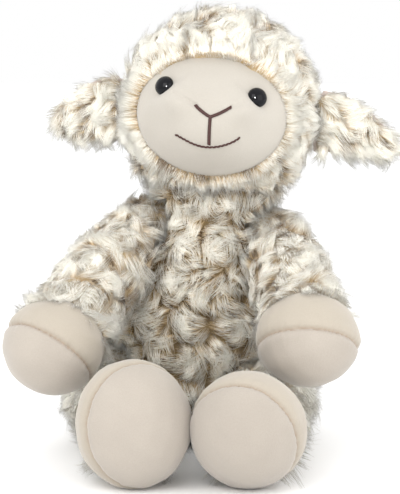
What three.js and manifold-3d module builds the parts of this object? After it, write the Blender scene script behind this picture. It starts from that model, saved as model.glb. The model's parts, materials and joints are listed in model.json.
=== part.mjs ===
// A plush sheep that sits on the floor: furry torso, head, ears, arms and legs,
// with a smooth short-pile face, paws and feet.
// Millimetres, +Z up. The face looks along -Y, and the toy's own left side is at +X.
// The origin is the middle of the flat seat, on the floor.
import * as THREE from 'three';
import { mergeVertices } from 'three/addons/utils/BufferGeometryUtils.js';
import Module from 'manifold-3d';

const wasm = await Module();
wasm.setup();
const { degToRad } = THREE.MathUtils;

// Cloth
const pelt = 8;            // long-pile pelt, backing and pile together
const velour = 2.5;        // short-pile cloth with its seam allowance
const clearance = 0.3;     // between pieces that rest on each other
const swingGap = 0.4;      // between a swivelling ball and its socket
const limbGap = 0.6;       // between a limb and the torso beside it
const flatDepth = 0.5;     // how far a round underside is pressed flat by the floor
const overrun = 400;       // how far a cutting block reaches past what it cuts
const leastRadius = 2.5;   // of a turned form near its ends
const normalStep = 2.5;    // between the places that give the face's slope
const mergeTolerance = 0.0001;

// Torso, upright in its own frame before it leans towards the toy's left
const lean = degToRad(5);
const torsoRadius = 60;
const torsoHeight = 150;
const torsoDepthShare = 0.94;
const torsoProfileShares = [
  [0, -0.06], [0.5, -0.05], [0.84, 0], [0.95, 0.12], [1, 0.28], [0.95, 0.5],
  [0.82, 0.69], [0.68, 0.84], [0.52, 0.93], [0, 1],
];
const seatPanelThickness = 3;
const sideSeam = 15;       // how far forward the side seams run
const beanBag = { radius: 30, depth: 26, height: 13, back: 14, drop: 1 };

// Neck: the head turns and nods about one point, on a round dome at the torso's top
const neck = { forward: 2, domeRadius: 41.4, gap: 0.6, stuffingRadius: 20, openingRadius: 14 };

// Head, in its own frame with its origin at its middle
const head = { width: 116, depth: 110, height: 120, rise: 40.7, forward: 6 };
const headYaw = degToRad(-2);
const crownPanelWidth = 36;
const crownPanelDrop = 5;

// Face: a short-pile panel set into the front of the head
const face = { across: -1.5, halfWidth: 41.9, halfHeight: 33.5, drop: 1.6, baseDepth: 10 };
const faceDome = { halfWidth: 52, depth: 44, halfHeight: 42.4, drop: 3.2 };
const snout = { depth: 6, halfWidth: 24, halfHeight: 20, drop: 12 };

// Eyes: glossy domes on stems, each held by a washer behind the face
const eye = { radius: 5.6, dome: 4.2, stemRadius: 1.8, stemLength: 14 };
const eyeSpots = { right: [-27.4, 12.3], left: [23.7, 10.7] };
const eyeSeat = 0.5;
const washer = { radius: 6.5, thickness: 1.5, behind: 0.9 };

// Nose and mouth: raised stitching
const noseThread = 1.1;
const mouthThread = 0.75;
const nose = { right: [-8.6, 4.1], left: [11.1, 4.9], middle: [0.3, -1.3], foot: [0.8, -16.3] };
const mouthPlaces = [[-17.4, -13.2], [-8.9, -16.5], [0.5, -17.8], [9.9, -15.6], [16.2, -11.8]];

// How far the limbs and the tail swing from rest, as far as the cloth lets them
const armLift = degToRad(32);
const legSplay = degToRad(6);
const tailWag = degToRad(25);

// Ears: flat leaves that fold about the line where they are sewn on
const ear = { length: 43, topHeight: 19, thickness: 11, edge: 3 };
const earRoot = { out: 59.2, height: 33, reliefGap: 1.2 };
const ears = {
  right: { side: -1, drop: 4.5, sweepBack: degToRad(22), bottomHeight: 17, droop: 0 },
  left: { side: 1, drop: 2.5, sweepBack: degToRad(4), bottomHeight: 15.5, droop: 6.5 },
};
// The leaf's outline, as shares of its length and of its height above or below the root's middle
const earLeafShares = [
  [[0.3, -1], [0.55, -1.25], [0.8, -1]],
  [[1, -0.8], [1.08, -0.35], [0.9, 0]],
  [[0.65, 0.6], [0.35, 0.9], [0, 1]],
];

// Arms and paws
const shoulder = { out: 34, forward: 8, height: 118, radius: 22 };
const arm = { radius: 24.5, bow: 5, wristBack: 12 };
const armSwellShare = 1 / 3; // of the way along, where an arm reaches its full radius
const paws = {
  right: {
    centre: [-67.0, -100.1, 67.4], radii: [27, 24.2, 26], palm: [-0.45, -0.55, -0.7], palmOffset: 4,
  },
  left: {
    centre: [68.6, -101.8, 73.3], radii: [27.5, 23.6, 25.1], palm: [0, -0.6, -0.8], palmOffset: 5,
  },
};

// Legs and feet
const hip = { out: 45, forward: 25, radius: 28.5 };
const leg = { kneeRadius: 26, ankleRadius: 22.5, ankleBack: 9 };
const foot = { halfWidth: 30.2, halfDepth: 26.5, halfHeight: 34.2, soleOffset: 6, forward: 135 };
const feet = {
  right: { across: -20.4, pitch: degToRad(8), sole: [0.41, -0.91, 0] },
  left: { across: 39, pitch: degToRad(35), sole: [-0.25, -0.87, -0.42] },
};

// Tail
const tail = { radius: 11, length: 24, back: 52, height: 40 };
const tailTaperShare = 0.9;

// Facets
const bodySides = 24;
const innerSides = 14;
const ballSides = 16;
const neckSides = 20;
const limbSides = 14;
const liningSides = 10;
const smallSides = 10;
const limbSteps = 5;
const faceRings = 4;
const faceSides = 20;
const curveSteps = 3;
const profileSteps = 12;
const innerProfileSteps = 8;
const swingSteps = 3;

// Finishes
const material = (color, roughness) => new THREE.MeshStandardMaterial({ color, roughness, metalness: 0 });
const furFinish = material(0xe8e4da, 0.95);
const velourFinish = material(0xe8ddcf, 0.9);
const linedFinish = material(0xdccdc2, 0.9);
const stuffingFinish = material(0xf4f4f2, 1);
const pelletFinish = material(0xd9d5c8, 0.8);
const eyeFinish = material(0x1c1d22, 0.12);
const plasticFinish = material(0xefefec, 0.5);
const threadFinish = material(0x4a2420, 0.7);

// A closed geometry as a solid for cutting and joining
function solid(geometry) {
  const bare = geometry.clone();
  bare.deleteAttribute('normal');
  bare.deleteAttribute('uv');
  const merged = mergeVertices(bare, mergeTolerance);
  return new wasm.Manifold(new wasm.Mesh({
    numProp: 3,
    vertProperties: new Float32Array(merged.attributes.position.array),
    triVerts: new Uint32Array(merged.index.array),
  }));
}

// A solid as a named mesh
function piece(name, body, finish) {
  const shape = body.getMesh();
  const geometry = new THREE.BufferGeometry();
  geometry.setAttribute('position', new THREE.BufferAttribute(shape.vertProperties, 3));
  geometry.setIndex(new THREE.BufferAttribute(shape.triVerts, 1));
  geometry.computeVertexNormals();
  const mesh = new THREE.Mesh(geometry, finish);
  mesh.name = name;
  return mesh;
}

const at = (x, y, z) => new THREE.Vector3(x, y, z);

function ball(centre, radius, sides = ballSides) {
  const geometry = new THREE.SphereGeometry(radius, sides, sides / 2);
  return solid(geometry.translate(centre.x, centre.y, centre.z));
}

// A round hollow whose flat facets still clear a ball that turns in it
function socket(centre, radius, gap, sides = ballSides) {
  const facetShare = Math.cos(Math.PI / sides) ** 2;
  return ball(centre, (radius + gap) / facetShare, sides);
}

// An egg-shaped solid with its own half sizes, tipped about X when it has a pitch
function egg(centre, radii, sides, pitch = 0) {
  const geometry = new THREE.SphereGeometry(1, sides, sides / 2).scale(...radii).rotateX(pitch);
  return solid(geometry.translate(centre.x, centre.y, centre.z));
}

// A round rod between two points
function rod(start, end, radius, sides = smallSides) {
  const span = end.clone().sub(start);
  const turn = new THREE.Quaternion().setFromUnitVectors(at(0, 1, 0), span.clone().normalize());
  const middle = start.clone().add(end).multiplyScalar(0.5);
  const geometry = new THREE.CylinderGeometry(radius, radius, span.length(), sides);
  geometry.applyQuaternion(turn);
  return solid(geometry.translate(middle.x, middle.y, middle.z));
}

// Everything on the side of a plane that its normal points to
function beyond(point, normal, shift = 0) {
  const unit = normal.clone().normalize();
  const turn = new THREE.Quaternion().setFromUnitVectors(at(0, 0, 1), unit);
  const geometry = new THREE.BoxGeometry(overrun, overrun, overrun).translate(0, 0, overrun / 2 + shift);
  geometry.applyQuaternion(turn);
  return solid(geometry.translate(point.x, point.y, point.z));
}

const floorBlock = beyond(at(0, 0, 0), at(0, 0, -1));

// A bent limb whose radius follows a function of the way along it
function limbTube(path, radiusAt, sides = limbSides) {
  const frames = path.computeFrenetFrames(limbSteps, false);
  const points = [];
  const faces = [];
  for (let step = 0; step <= limbSteps; step += 1) {
    const share = step / limbSteps;
    const centre = path.getPoint(share);
    for (let side = 0; side < sides; side += 1) {
      const angle = (2 * Math.PI * side) / sides;
      const point = centre.clone();
      point.addScaledVector(frames.normals[step], Math.cos(angle) * radiusAt(share));
      point.addScaledVector(frames.binormals[step], Math.sin(angle) * radiusAt(share));
      points.push(...point);
    }
  }
  for (let step = 0; step < limbSteps; step += 1) {
    for (let side = 0; side < sides; side += 1) {
      const here = step * sides + side;
      const next = step * sides + ((side + 1) % sides);
      faces.push(here, next, next + sides, here, next + sides, here + sides);
    }
  }
  const first = points.length / 3;
  points.push(...path.getPoint(0), ...path.getPoint(1));
  for (let side = 0; side < sides; side += 1) {
    const next = (side + 1) % sides;
    const end = limbSteps * sides;
    faces.push(first, next, side, first + 1, end + side, end + next);
  }
  const geometry = new THREE.BufferGeometry();
  geometry.setAttribute('position', new THREE.Float32BufferAttribute(points, 3));
  geometry.setIndex(faces);
  return solid(geometry);
}

// Torso
const leaning = new THREE.Matrix4().makeRotationY(lean);
const leaned = (x, y, z) => at(x, y, z).applyMatrix4(leaning);
const pivot = leaned(0, -neck.forward, torsoHeight);

// The torso's round form, drawn in by an inset and let out where it is negative
function torsoForm(inset, sides = bodySides, steps = profileSteps) {
  const corners = torsoProfileShares.map(([outShare, upShare]) => (
    new THREE.Vector2(outShare * torsoRadius, upShare * torsoHeight)));
  const outline = new THREE.SplineCurve(corners).getPoints(steps).map((corner, index) => {
    const onAxis = index === 0 || index === steps;
    return new THREE.Vector2(onAxis ? 0 : Math.max(corner.x - inset, leastRadius), corner.y);
  });
  const pear = new THREE.LatheGeometry(outline, sides);
  pear.rotateX(Math.PI / 2).scale(1, torsoDepthShare, 1).applyMatrix4(leaning);
  return solid(pear).add(ball(pivot, neck.domeRadius - inset, sides));
}

const torsoInner = (inset) => torsoForm(inset, innerSides, innerProfileSteps);

const hipCentre = (side) => at(side * hip.out, -hip.forward, hip.radius - flatDepth);
const shoulderCentre = (side) => leaned(side * shoulder.out, -shoulder.forward, shoulder.height);
const tailRoot = leaned(0, tail.back, tail.height);

const torsoSockets = socket(hipCentre(-1), hip.radius, swingGap)
  .add(socket(hipCentre(1), hip.radius, swingGap))
  .add(socket(shoulderCentre(-1), shoulder.radius, swingGap))
  .add(socket(shoulderCentre(1), shoulder.radius, swingGap))
  .add(socket(tailRoot, tail.radius, swingGap));
const neckTop = pivot.clone().add(at(0, 0, neck.domeRadius + overrun));
const neckWell = socket(pivot, neck.stuffingRadius, clearance, neckSides)
  .add(rod(pivot, neckTop, neck.openingRadius, limbSides));

const torsoWhole = torsoForm(0).subtract(floorBlock);
const torsoInside = torsoInner(pelt);
const aboveSeat = beyond(at(0, 0, seatPanelThickness), at(0, 0, 1), clearance);
const torsoShell = torsoWhole.subtract(torsoInside).subtract(torsoSockets).subtract(neckWell)
  .intersect(aboveSeat);
const inFront = beyond(at(0, -sideSeam, 0), at(0, -1, 0), clearance / 2);
const behind = beyond(at(0, -sideSeam, 0), at(0, 1, 0), clearance / 2);
const toRight = beyond(at(0, 0, 0), leaned(-1, 0, 0), clearance / 2);
const toLeft = beyond(at(0, 0, 0), leaned(1, 0, 0), clearance / 2);

const bagShape = egg(
  at(0, beanBag.back, beanBag.height - beanBag.drop),
  [beanBag.radius, beanBag.depth, beanBag.height],
  limbSides,
);
const bagHollow = egg(
  at(0, beanBag.back, beanBag.height - beanBag.drop),
  [beanBag.radius + clearance, beanBag.depth + clearance, beanBag.height + clearance],
  limbSides,
);
const seatPanel = torsoWhole.subtract(torsoSockets)
  .subtract(beyond(at(0, 0, seatPanelThickness), at(0, 0, 1)));
const torsoStuffing = torsoInner(pelt + clearance).intersect(aboveSeat).subtract(torsoSockets)
  .subtract(neckWell).subtract(bagHollow);

const torsoGroup = new THREE.Group();
torsoGroup.add(
  piece('torso_front_panel', torsoShell.intersect(inFront), furFinish),
  piece('torso_back_right_panel', torsoShell.intersect(behind).intersect(toRight), furFinish),
  piece('torso_back_left_panel', torsoShell.intersect(behind).intersect(toLeft), furFinish),
  piece('seat_panel', seatPanel, furFinish),
  piece('torso_stuffing', torsoStuffing, stuffingFinish),
  piece('seat_bean_bag', bagShape.intersect(aboveSeat), pelletFinish),
  piece('neck_stuffing', ball(pivot, neck.stuffingRadius, neckSides), stuffingFinish),
);

// Head
const headGroup = new THREE.Group();
headGroup.position.copy(leaned(0, -neck.forward - head.forward, torsoHeight + head.rise));
headGroup.rotation.set(0, lean, headYaw, 'ZYX');
headGroup.updateMatrixWorld(true);
const middle = at(0, 0, 0);

function headForm(inset, sides = innerSides) {
  const radii = [head.width / 2 - inset, head.depth / 2 - inset, head.height / 2 - inset];
  return egg(middle, radii, sides);
}

// How far the face stands forward of the head's middle, at a place across and up
function faceForward(x, z) {
  const across = x / faceDome.halfWidth;
  const up = (z + faceDome.drop) / faceDome.halfHeight;
  const snoutAcross = x / snout.halfWidth;
  const snoutUp = (z + snout.drop) / snout.halfHeight;
  const dome = faceDome.depth * Math.sqrt(Math.max(1 - across * across - up * up, 0));
  const bump = snout.depth * Math.exp(-snoutAcross * snoutAcross - snoutUp * snoutUp);
  return face.baseDepth + dome + bump;
}

// A slab of the face's outline, from its own surface less an inset back to a depth
function faceSlab(inset, frontInset, backDepthAt) {
  const points = [];
  const faces = [];
  const layer = 1 + faceRings * faceSides;
  for (const depthAt of [(x, z) => faceForward(x, z) - frontInset, backDepthAt]) {
    points.push(face.across, -depthAt(face.across, -face.drop), -face.drop);
    for (let ring = 1; ring <= faceRings; ring += 1) {
      for (let side = 0; side < faceSides; side += 1) {
        const angle = (2 * Math.PI * side) / faceSides;
        const share = ring / faceRings;
        const x = (face.halfWidth - inset) * Math.cos(angle) * share + face.across;
        const z = (face.halfHeight - inset) * Math.sin(angle) * share - face.drop;
        points.push(x, -depthAt(x, z), z);
      }
    }
  }
  for (let side = 0; side < faceSides; side += 1) {
    const next = (side + 1) % faceSides;
    faces.push(0, 1 + side, 1 + next, layer, layer + 1 + next, layer + 1 + side);
    for (let ring = 0; ring < faceRings - 1; ring += 1) {
      const inner = 1 + ring * faceSides;
      const outer = inner + faceSides;
      faces.push(inner + side, outer + side, outer + next, inner + side, outer + next, inner + next);
      const back = layer;
      faces.push(back + inner + side, back + outer + next, back + outer + side);
      faces.push(back + inner + side, back + inner + next, back + outer + next);
    }
    const rim = 1 + (faceRings - 1) * faceSides;
    faces.push(rim + side, layer + rim + side, layer + rim + next);
    faces.push(rim + side, layer + rim + next, rim + next);
  }
  const geometry = new THREE.BufferGeometry();
  geometry.setAttribute('position', new THREE.Float32BufferAttribute(points, 3));
  geometry.setIndex(faces);
  return solid(geometry);
}

const pivotInHead = headGroup.worldToLocal(pivot.clone());
const neckSocket = socket(pivotInHead, neck.domeRadius, neck.gap, bodySides);
const faceOpening = faceSlab(-clearance, -head.depth, () => face.baseDepth);
const facePanel = faceSlab(0, 0, (x, z) => faceForward(x, z) - velour);
const facePad = faceSlab(clearance, velour + clearance, () => face.baseDepth - velour);

// A point on the face's surface, and the way out of it
const onFace = (x, z) => at(x, -faceForward(x, z), z);
function faceNormal(x, z) {
  const across = onFace(x + normalStep, z).sub(onFace(x - normalStep, z));
  const upward = onFace(x, z + normalStep).sub(onFace(x, z - normalStep));
  return across.cross(upward).normalize();
}

// Ears: where each is sewn on, upright in the room so that it folds about a vertical line
function earGroupFor(spec) {
  const group = new THREE.Group();
  group.position.set(spec.side * earRoot.out, 0, -spec.drop);
  const upright = headGroup.getWorldQuaternion(new THREE.Quaternion()).invert();
  const turned = new THREE.Quaternion().setFromAxisAngle(at(0, 0, 1), spec.side * spec.sweepBack);
  group.quaternion.copy(upright.multiply(turned));
  return group;
}

// The leaf runs outwards along X and droops towards its tip
function earLeaf(spec) {
  const place = ([outShare, upShare]) => [
    spec.side * ear.length * outShare,
    upShare * (upShare > 0 ? ear.topHeight : spec.bottomHeight),
  ];
  const outline = new THREE.Shape().moveTo(...place([0, -1]));
  for (const curve of earLeafShares) outline.bezierCurveTo(...curve.flatMap(place));
  outline.closePath();
  const geometry = new THREE.ExtrudeGeometry(outline, {
    depth: ear.thickness - 2 * ear.edge,
    curveSegments: curveSteps,
    bevelThickness: ear.edge,
    bevelSize: ear.edge,
    bevelOffset: -ear.edge,
    bevelSegments: 1,
  });
  geometry.translate(0, 0, ear.edge - ear.thickness / 2).rotateX(Math.PI / 2);
  const places = geometry.attributes.position;
  for (let index = 0; index < places.count; index += 1) {
    const outShare = places.getX(index) / ear.length;
    places.setZ(index, places.getZ(index) - spec.droop * outShare * outShare);
  }
  return solid(geometry);
}

function earRootRod(radius, height) {
  return rod(at(0, 0, -height / 2), at(0, 0, height / 2), radius);
}

const placed = (body, group) => {
  group.updateMatrix();
  return body.transform([...group.matrix.elements]);
};

const earGroups = { right: earGroupFor(ears.right), left: earGroupFor(ears.left) };
const earGroove = earRootRod(
  (ear.thickness / 2 + swingGap) / Math.cos(Math.PI / smallSides),
  earRoot.height + earRoot.reliefGap,
);
const earGrooves = placed(earGroove, earGroups.right).add(placed(earGroove, earGroups.left));

const headShell = headForm(0, bodySides).subtract(headForm(pelt)).subtract(faceOpening)
  .subtract(neckSocket).subtract(earGrooves);

// The crown panel runs from the forehead over the top and down the nape
function crownZone(inset) {
  const half = crownPanelWidth / 2 - inset;
  const strip = new THREE.BoxGeometry(2 * half, overrun, overrun);
  const overTop = solid(strip.clone().translate(0, 0, overrun / 2 - crownPanelDrop + inset));
  const downNape = solid(strip.clone().translate(0, overrun / 2 + inset, 0));
  return overTop.add(downNape);
}

const sidePanels = headShell.subtract(crownZone(-clearance));
const headRight = beyond(middle, at(-1, 0, 0), clearance / 2);
const headLeft = beyond(middle, at(1, 0, 0), clearance / 2);

// Eyes, washers and the wells that hold them in the stuffing
function eyeProfile() {
  const arc = new THREE.EllipseCurve(0, 0, eye.radius, eye.dome, 0, Math.PI / 2).getPoints(curveSteps);
  return [
    new THREE.Vector2(0, -eye.stemLength),
    new THREE.Vector2(eye.stemRadius, -eye.stemLength),
    new THREE.Vector2(eye.stemRadius, 0),
    ...arc.slice(0, -1),
    new THREE.Vector2(0, eye.dome),
  ];
}

function turnedOn(profile, group) {
  const geometry = new THREE.LatheGeometry(profile, smallSides);
  geometry.applyQuaternion(group.quaternion);
  return solid(geometry.translate(group.position.x, group.position.y, group.position.z));
}

function eyePlace([x, z]) {
  const out = faceNormal(x, z);
  return {
    position: onFace(x, z).addScaledVector(out, eyeSeat),
    quaternion: new THREE.Quaternion().setFromUnitVectors(at(0, 1, 0), out),
  };
}

const washerFront = -(eyeSeat + velour + washer.behind);
const washerBack = washerFront - washer.thickness;
const washerBore = eye.stemRadius + clearance;
const washerProfile = [
  new THREE.Vector2(washerBore, washerBack),
  new THREE.Vector2(washer.radius, washerBack),
  new THREE.Vector2(washer.radius, washerFront),
  new THREE.Vector2(washerBore, washerFront),
  new THREE.Vector2(washerBore, washerBack),
];
const wellProfile = [
  new THREE.Vector2(0, -eye.stemLength - clearance),
  new THREE.Vector2(washerBore, -eye.stemLength - clearance),
  new THREE.Vector2(washerBore, washerBack - clearance),
  new THREE.Vector2(washer.radius + clearance, washerBack - clearance),
  new THREE.Vector2(washer.radius + clearance, eye.dome),
  new THREE.Vector2(0, eye.dome),
];
const holeProfile = [
  new THREE.Vector2(0, -eye.stemLength),
  new THREE.Vector2(washerBore, -eye.stemLength),
  new THREE.Vector2(washerBore, eye.dome),
  new THREE.Vector2(0, eye.dome),
];
const eyePlaces = { right: eyePlace(eyeSpots.right), left: eyePlace(eyeSpots.left) };
const eyeHoles = turnedOn(holeProfile, eyePlaces.right).add(turnedOn(holeProfile, eyePlaces.left));
const eyeWells = turnedOn(wellProfile, eyePlaces.right).add(turnedOn(wellProfile, eyePlaces.left));

const headCore = headForm(pelt + clearance).subtract(faceOpening);
const headStuffing = headCore.add(facePad).subtract(neckSocket).subtract(earGrooves)
  .subtract(eyeWells);

headGroup.add(
  piece('head_right_panel', sidePanels.intersect(headRight), furFinish),
  piece('head_left_panel', sidePanels.intersect(headLeft), furFinish),
  piece('head_crown_panel', headShell.intersect(crownZone(0)), furFinish),
  piece('face_panel', facePanel.subtract(eyeHoles), velourFinish),
  piece('head_stuffing', headStuffing, stuffingFinish),
);
for (const side of ['right', 'left']) {
  headGroup.add(
    piece(`${side}_eye`, turnedOn(eyeProfile(), eyePlaces[side]), eyeFinish),
    piece(`${side}_eye_washer`, turnedOn(washerProfile, eyePlaces[side]), plasticFinish),
  );
}

// Stitching laid on the face along a line of places across and up
function stitchLine(places, radius) {
  const path = new THREE.CatmullRomCurve3(places.map(([x, z]) => (
    onFace(x, z).addScaledVector(faceNormal(x, z), radius + clearance))));
  const section = new THREE.Shape().absarc(0, 0, radius, 0, 2 * Math.PI);
  return solid(new THREE.ExtrudeGeometry(section, {
    steps: limbSteps, curveSegments: curveSteps, bevelEnabled: false, extrudePath: path,
  }));
}

const halfway = ([x1, z1], [x2, z2]) => [(x1 + x2) / 2, (z1 + z2) / 2];
const noseLine = (from, to) => stitchLine([from, halfway(from, to), to], noseThread);
const noseStitching = noseLine(nose.right, nose.middle).add(noseLine(nose.left, nose.middle))
  .add(noseLine(nose.middle, nose.foot));
const mouthStitching = stitchLine(mouthPlaces, mouthThread);
headGroup.add(
  piece('nose_embroidery', noseStitching, threadFinish),
  piece('mouth_embroidery', mouthStitching, threadFinish),
);

const earFront = beyond(middle, at(0, -1, 0), clearance / 2);
const earBack = beyond(middle, at(0, 1, 0), clearance / 2);
for (const name of ['right', 'left']) {
  const group = earGroups[name];
  const spec = ears[name];
  const wrapped = earLeaf(spec).intersect(beyond(middle, at(spec.side, 0, 0)))
    .add(earRootRod(ear.thickness / 2, earRoot.height));
  group.add(
    piece(`${name}_ear_fur_panel`, wrapped.intersect(earFront), furFinish),
    piece(`${name}_ear_lining_panel`, wrapped.intersect(earBack), linedFinish),
  );
  headGroup.add(group);
}

// All the room that the torso takes up beside a limb that swings about an axis through its root
const torsoBeside = torsoForm(-limbGap);
const torsoBesideLining = torsoInner(-limbGap - velour);
function torsoSweep(form, root, axis, fromAngle, toAngle) {
  const places = [];
  for (let step = 0; step <= swingSteps; step += 1) {
    const angle = THREE.MathUtils.lerp(fromAngle, toAngle, step / swingSteps);
    const turn = new THREE.Matrix4().makeTranslation(root)
      .multiply(new THREE.Matrix4().makeRotationAxis(axis, -angle))
      .multiply(new THREE.Matrix4().makeTranslation(root.clone().negate()));
    places.push(form.transform([...turn.elements]));
  }
  return wasm.Manifold.union(places);
}

// Arms

function armPieces(name, side) {
  const spec = paws[name];
  const root = shoulderCentre(side);
  const centre = at(...spec.centre);
  const bow = at(side * arm.bow, 0, arm.bow);
  const elbow = root.clone().add(centre).multiplyScalar(0.5).add(bow);
  const path = new THREE.QuadraticBezierCurve3(root, elbow, centre);
  const reach = centre.clone().sub(elbow).normalize();
  const wrist = centre.clone().addScaledVector(reach, -arm.wristBack);
  const swell = (share) => (
    THREE.MathUtils.lerp(shoulder.radius, arm.radius, Math.min(share / armSwellShare, 1)));
  const beforeWrist = beyond(wrist, reach.clone().negate(), clearance / 2);
  const afterWrist = beyond(wrist, reach, clearance / 2);

  const span = centre.clone().sub(root);
  const liftAxis = at(span.y, -span.x, 0).normalize();
  const beside = torsoSweep(torsoBeside, root, liftAxis, 0, armLift);
  const sleeve = limbTube(path, swell).subtract(beside).add(ball(root, shoulder.radius));
  const besideLining = torsoSweep(torsoBesideLining, root, liftAxis, 0, armLift);
  const inside = (inset) => limbTube(path, (share) => swell(share) - inset, liningSides)
    .subtract(besideLining).add(ball(root, shoulder.radius - inset, liningSides));
  const pawForm = (inset, sides = liningSides) => (
    egg(centre, spec.radii.map((radius) => radius - inset), sides));
  const pawShell = pawForm(0, limbSides).subtract(pawForm(velour)).intersect(afterWrist);
  const palm = at(...spec.palm);
  return [
    piece(`${name}_arm_sleeve`, sleeve.subtract(inside(pelt)).intersect(beforeWrist), furFinish),
    piece(
      `${name}_paw_upper`,
      pawShell.subtract(beyond(centre, palm, spec.palmOffset)),
      velourFinish,
    ),
    piece(
      `${name}_paw_sole`,
      pawShell.intersect(beyond(centre, palm, spec.palmOffset + clearance)),
      velourFinish,
    ),
    piece(
      `${name}_arm_stuffing`,
      inside(pelt + clearance).intersect(beyond(wrist, reach.clone().negate(), -clearance))
        .add(pawForm(velour + clearance).intersect(afterWrist)),
      stuffingFinish,
    ),
  ];
}

// Legs
function legPieces(name, side) {
  const spec = feet[name];
  const root = hipCentre(side);
  const tipped = Math.hypot(foot.halfHeight * Math.cos(spec.pitch), foot.halfDepth * Math.sin(spec.pitch));
  const centre = at(spec.across, -foot.forward, tipped - flatDepth);
  const ankle = at(spec.across, -foot.forward, leg.ankleRadius - flatDepth);
  const knee = root.clone().add(ankle).multiplyScalar(0.5);
  knee.z = leg.kneeRadius - flatDepth;
  const path = new THREE.QuadraticBezierCurve3(root, knee, ankle);
  const reach = ankle.clone().sub(knee).setZ(0).normalize();
  const ankleCut = ankle.clone().addScaledVector(reach, -leg.ankleBack);
  const taper = (share) => THREE.MathUtils.lerp(hip.radius, leg.ankleRadius, share);
  const beforeAnkle = beyond(ankleCut, reach.clone().negate(), clearance / 2);
  const afterAnkle = beyond(ankleCut, reach, clearance / 2);

  const splayAxis = at(0, 0, side);
  const beside = torsoSweep(torsoBeside, root, splayAxis, 0, legSplay);
  const sleeve = limbTube(path, taper).subtract(beside).add(ball(root, hip.radius))
    .subtract(floorBlock);
  const besideLining = torsoSweep(torsoBesideLining, root, splayAxis, 0, legSplay);
  const inside = (inset) => limbTube(path, (share) => taper(share) - inset, liningSides)
    .subtract(besideLining).add(ball(root, hip.radius - inset, liningSides));
  const footForm = (inset, sides = liningSides) => egg(
    centre,
    [foot.halfWidth - inset, foot.halfDepth - inset, foot.halfHeight - inset],
    sides,
    spec.pitch,
  );
  const footShell = footForm(0, limbSides).subtract(footForm(velour)).intersect(afterAnkle)
    .subtract(floorBlock);
  const sole = at(...spec.sole);
  return [
    piece(`${name}_leg_sleeve`, sleeve.subtract(inside(pelt)).intersect(beforeAnkle), furFinish),
    piece(`${name}_foot_upper`, footShell.subtract(beyond(centre, sole, foot.soleOffset)), velourFinish),
    piece(
      `${name}_foot_sole`,
      footShell.intersect(beyond(centre, sole, foot.soleOffset + clearance)),
      velourFinish,
    ),
    piece(
      `${name}_leg_stuffing`,
      inside(pelt + clearance).intersect(beyond(ankleCut, reach.clone().negate(), -clearance))
        .add(footForm(velour + clearance).intersect(afterAnkle)),
      stuffingFinish,
    ),
  ];
}

// Tail: a short round tuft on the back, tapering away from the seam
const tailTip = leaned(0, tail.back + tail.length, tail.height - tail.radius);
const tailPath = new THREE.LineCurve3(tailRoot, tailTip);
const tailTaper = (share) => tail.radius * Math.sqrt(1 - tailTaperShare * share * share);
const tailBody = limbTube(tailPath, tailTaper, smallSides)
  .subtract(torsoSweep(torsoBeside, tailRoot, at(0, 0, 1), -tailWag, tailWag))
  .add(ball(tailRoot, tail.radius));

const group = new THREE.Group();
group.add(
  torsoGroup,
  headGroup,
  ...armPieces('right', -1),
  ...armPieces('left', 1),
  ...legPieces('right', -1),
  ...legPieces('left', 1),
  piece('tail', tailBody, furFinish),
);

export default group;
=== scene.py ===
# A plush sheep that sits on the floor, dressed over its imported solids: curled long-pile fur,
# short-pile face, paws and feet, glossy eyes, and a stitched nose and mouth.
import json
import math

import bmesh
import bpy
import numpy as np
from mathutils import Matrix, Vector
from mathutils.bvhtree import BVHTree


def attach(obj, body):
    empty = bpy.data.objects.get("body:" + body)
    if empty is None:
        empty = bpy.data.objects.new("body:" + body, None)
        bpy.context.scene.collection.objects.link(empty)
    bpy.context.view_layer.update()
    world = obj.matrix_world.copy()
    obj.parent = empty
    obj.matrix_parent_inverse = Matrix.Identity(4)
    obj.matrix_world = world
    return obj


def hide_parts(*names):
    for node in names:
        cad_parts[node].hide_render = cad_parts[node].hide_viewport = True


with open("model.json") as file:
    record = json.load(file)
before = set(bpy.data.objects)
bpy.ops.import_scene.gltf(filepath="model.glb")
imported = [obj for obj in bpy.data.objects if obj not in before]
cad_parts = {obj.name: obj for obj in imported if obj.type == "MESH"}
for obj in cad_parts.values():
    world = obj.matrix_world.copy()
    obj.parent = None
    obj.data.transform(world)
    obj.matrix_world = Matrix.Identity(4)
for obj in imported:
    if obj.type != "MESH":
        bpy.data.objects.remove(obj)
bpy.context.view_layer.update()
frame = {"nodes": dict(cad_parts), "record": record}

bl_info = {
    "name": "Plush Sheep",
    "version": (1, 0, 0),
    "blender": (4, 5, 0),
    "location": "3D View > Sidebar > Plush Sheep",
    "description": "Dresses a packed plush sheep in fur, velour and stitching",
    "category": "Add Mesh",
}

MM = 0.001
FUR_MAP = "OFBake"  # the strands' own map: tint across, root to tip along

# The solids' sizes that the dressed pieces repeat, in millimetres
LEAN = math.radians(5)
HEAD_YAW = math.radians(-2)
HEAD_PLACE = (0, -8, 190.7)
FACE = {"across": -1.5, "half_width": 41.9, "half_height": 33.5, "drop": 1.6, "base": 10}
FACE_DOME = {"half_width": 52, "depth": 44, "half_height": 42.4, "drop": 3.2}
SNOUT = {"depth": 6, "half_width": 24, "half_height": 20, "drop": 12}
CHEEK = {"rise": 6.2, "across": 0.66, "down": 0.75, "out": 8.2, "spread": 9.6, "wall": 2.3,
         "edge": 0.5}
CREASE = {"depth": 1.2, "width": 1.4}
EYE = {"radius": 5.6, "dome": 4.2, "seat": 0.5, "lip": 0.4, "stem": 1.8, "length": 14}
EYE_SPOTS = {"right": (-27.4, 12.3), "left": (23.7, 10.7)}
NOSE = {"right": (-8.6, 4.1), "left": (11.1, 4.9), "middle": (0.3, -1.3), "foot": (0.8, -16.3)}
MOUTH = ((-17.4, -13.2), (-8.9, -16.5), (0.5, -17.8), (9.9, -15.6), (16.2, -11.8))
ARM_BOW = 5
SHOULDER = {"out": 34, "forward": 8, "height": 118}
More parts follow.
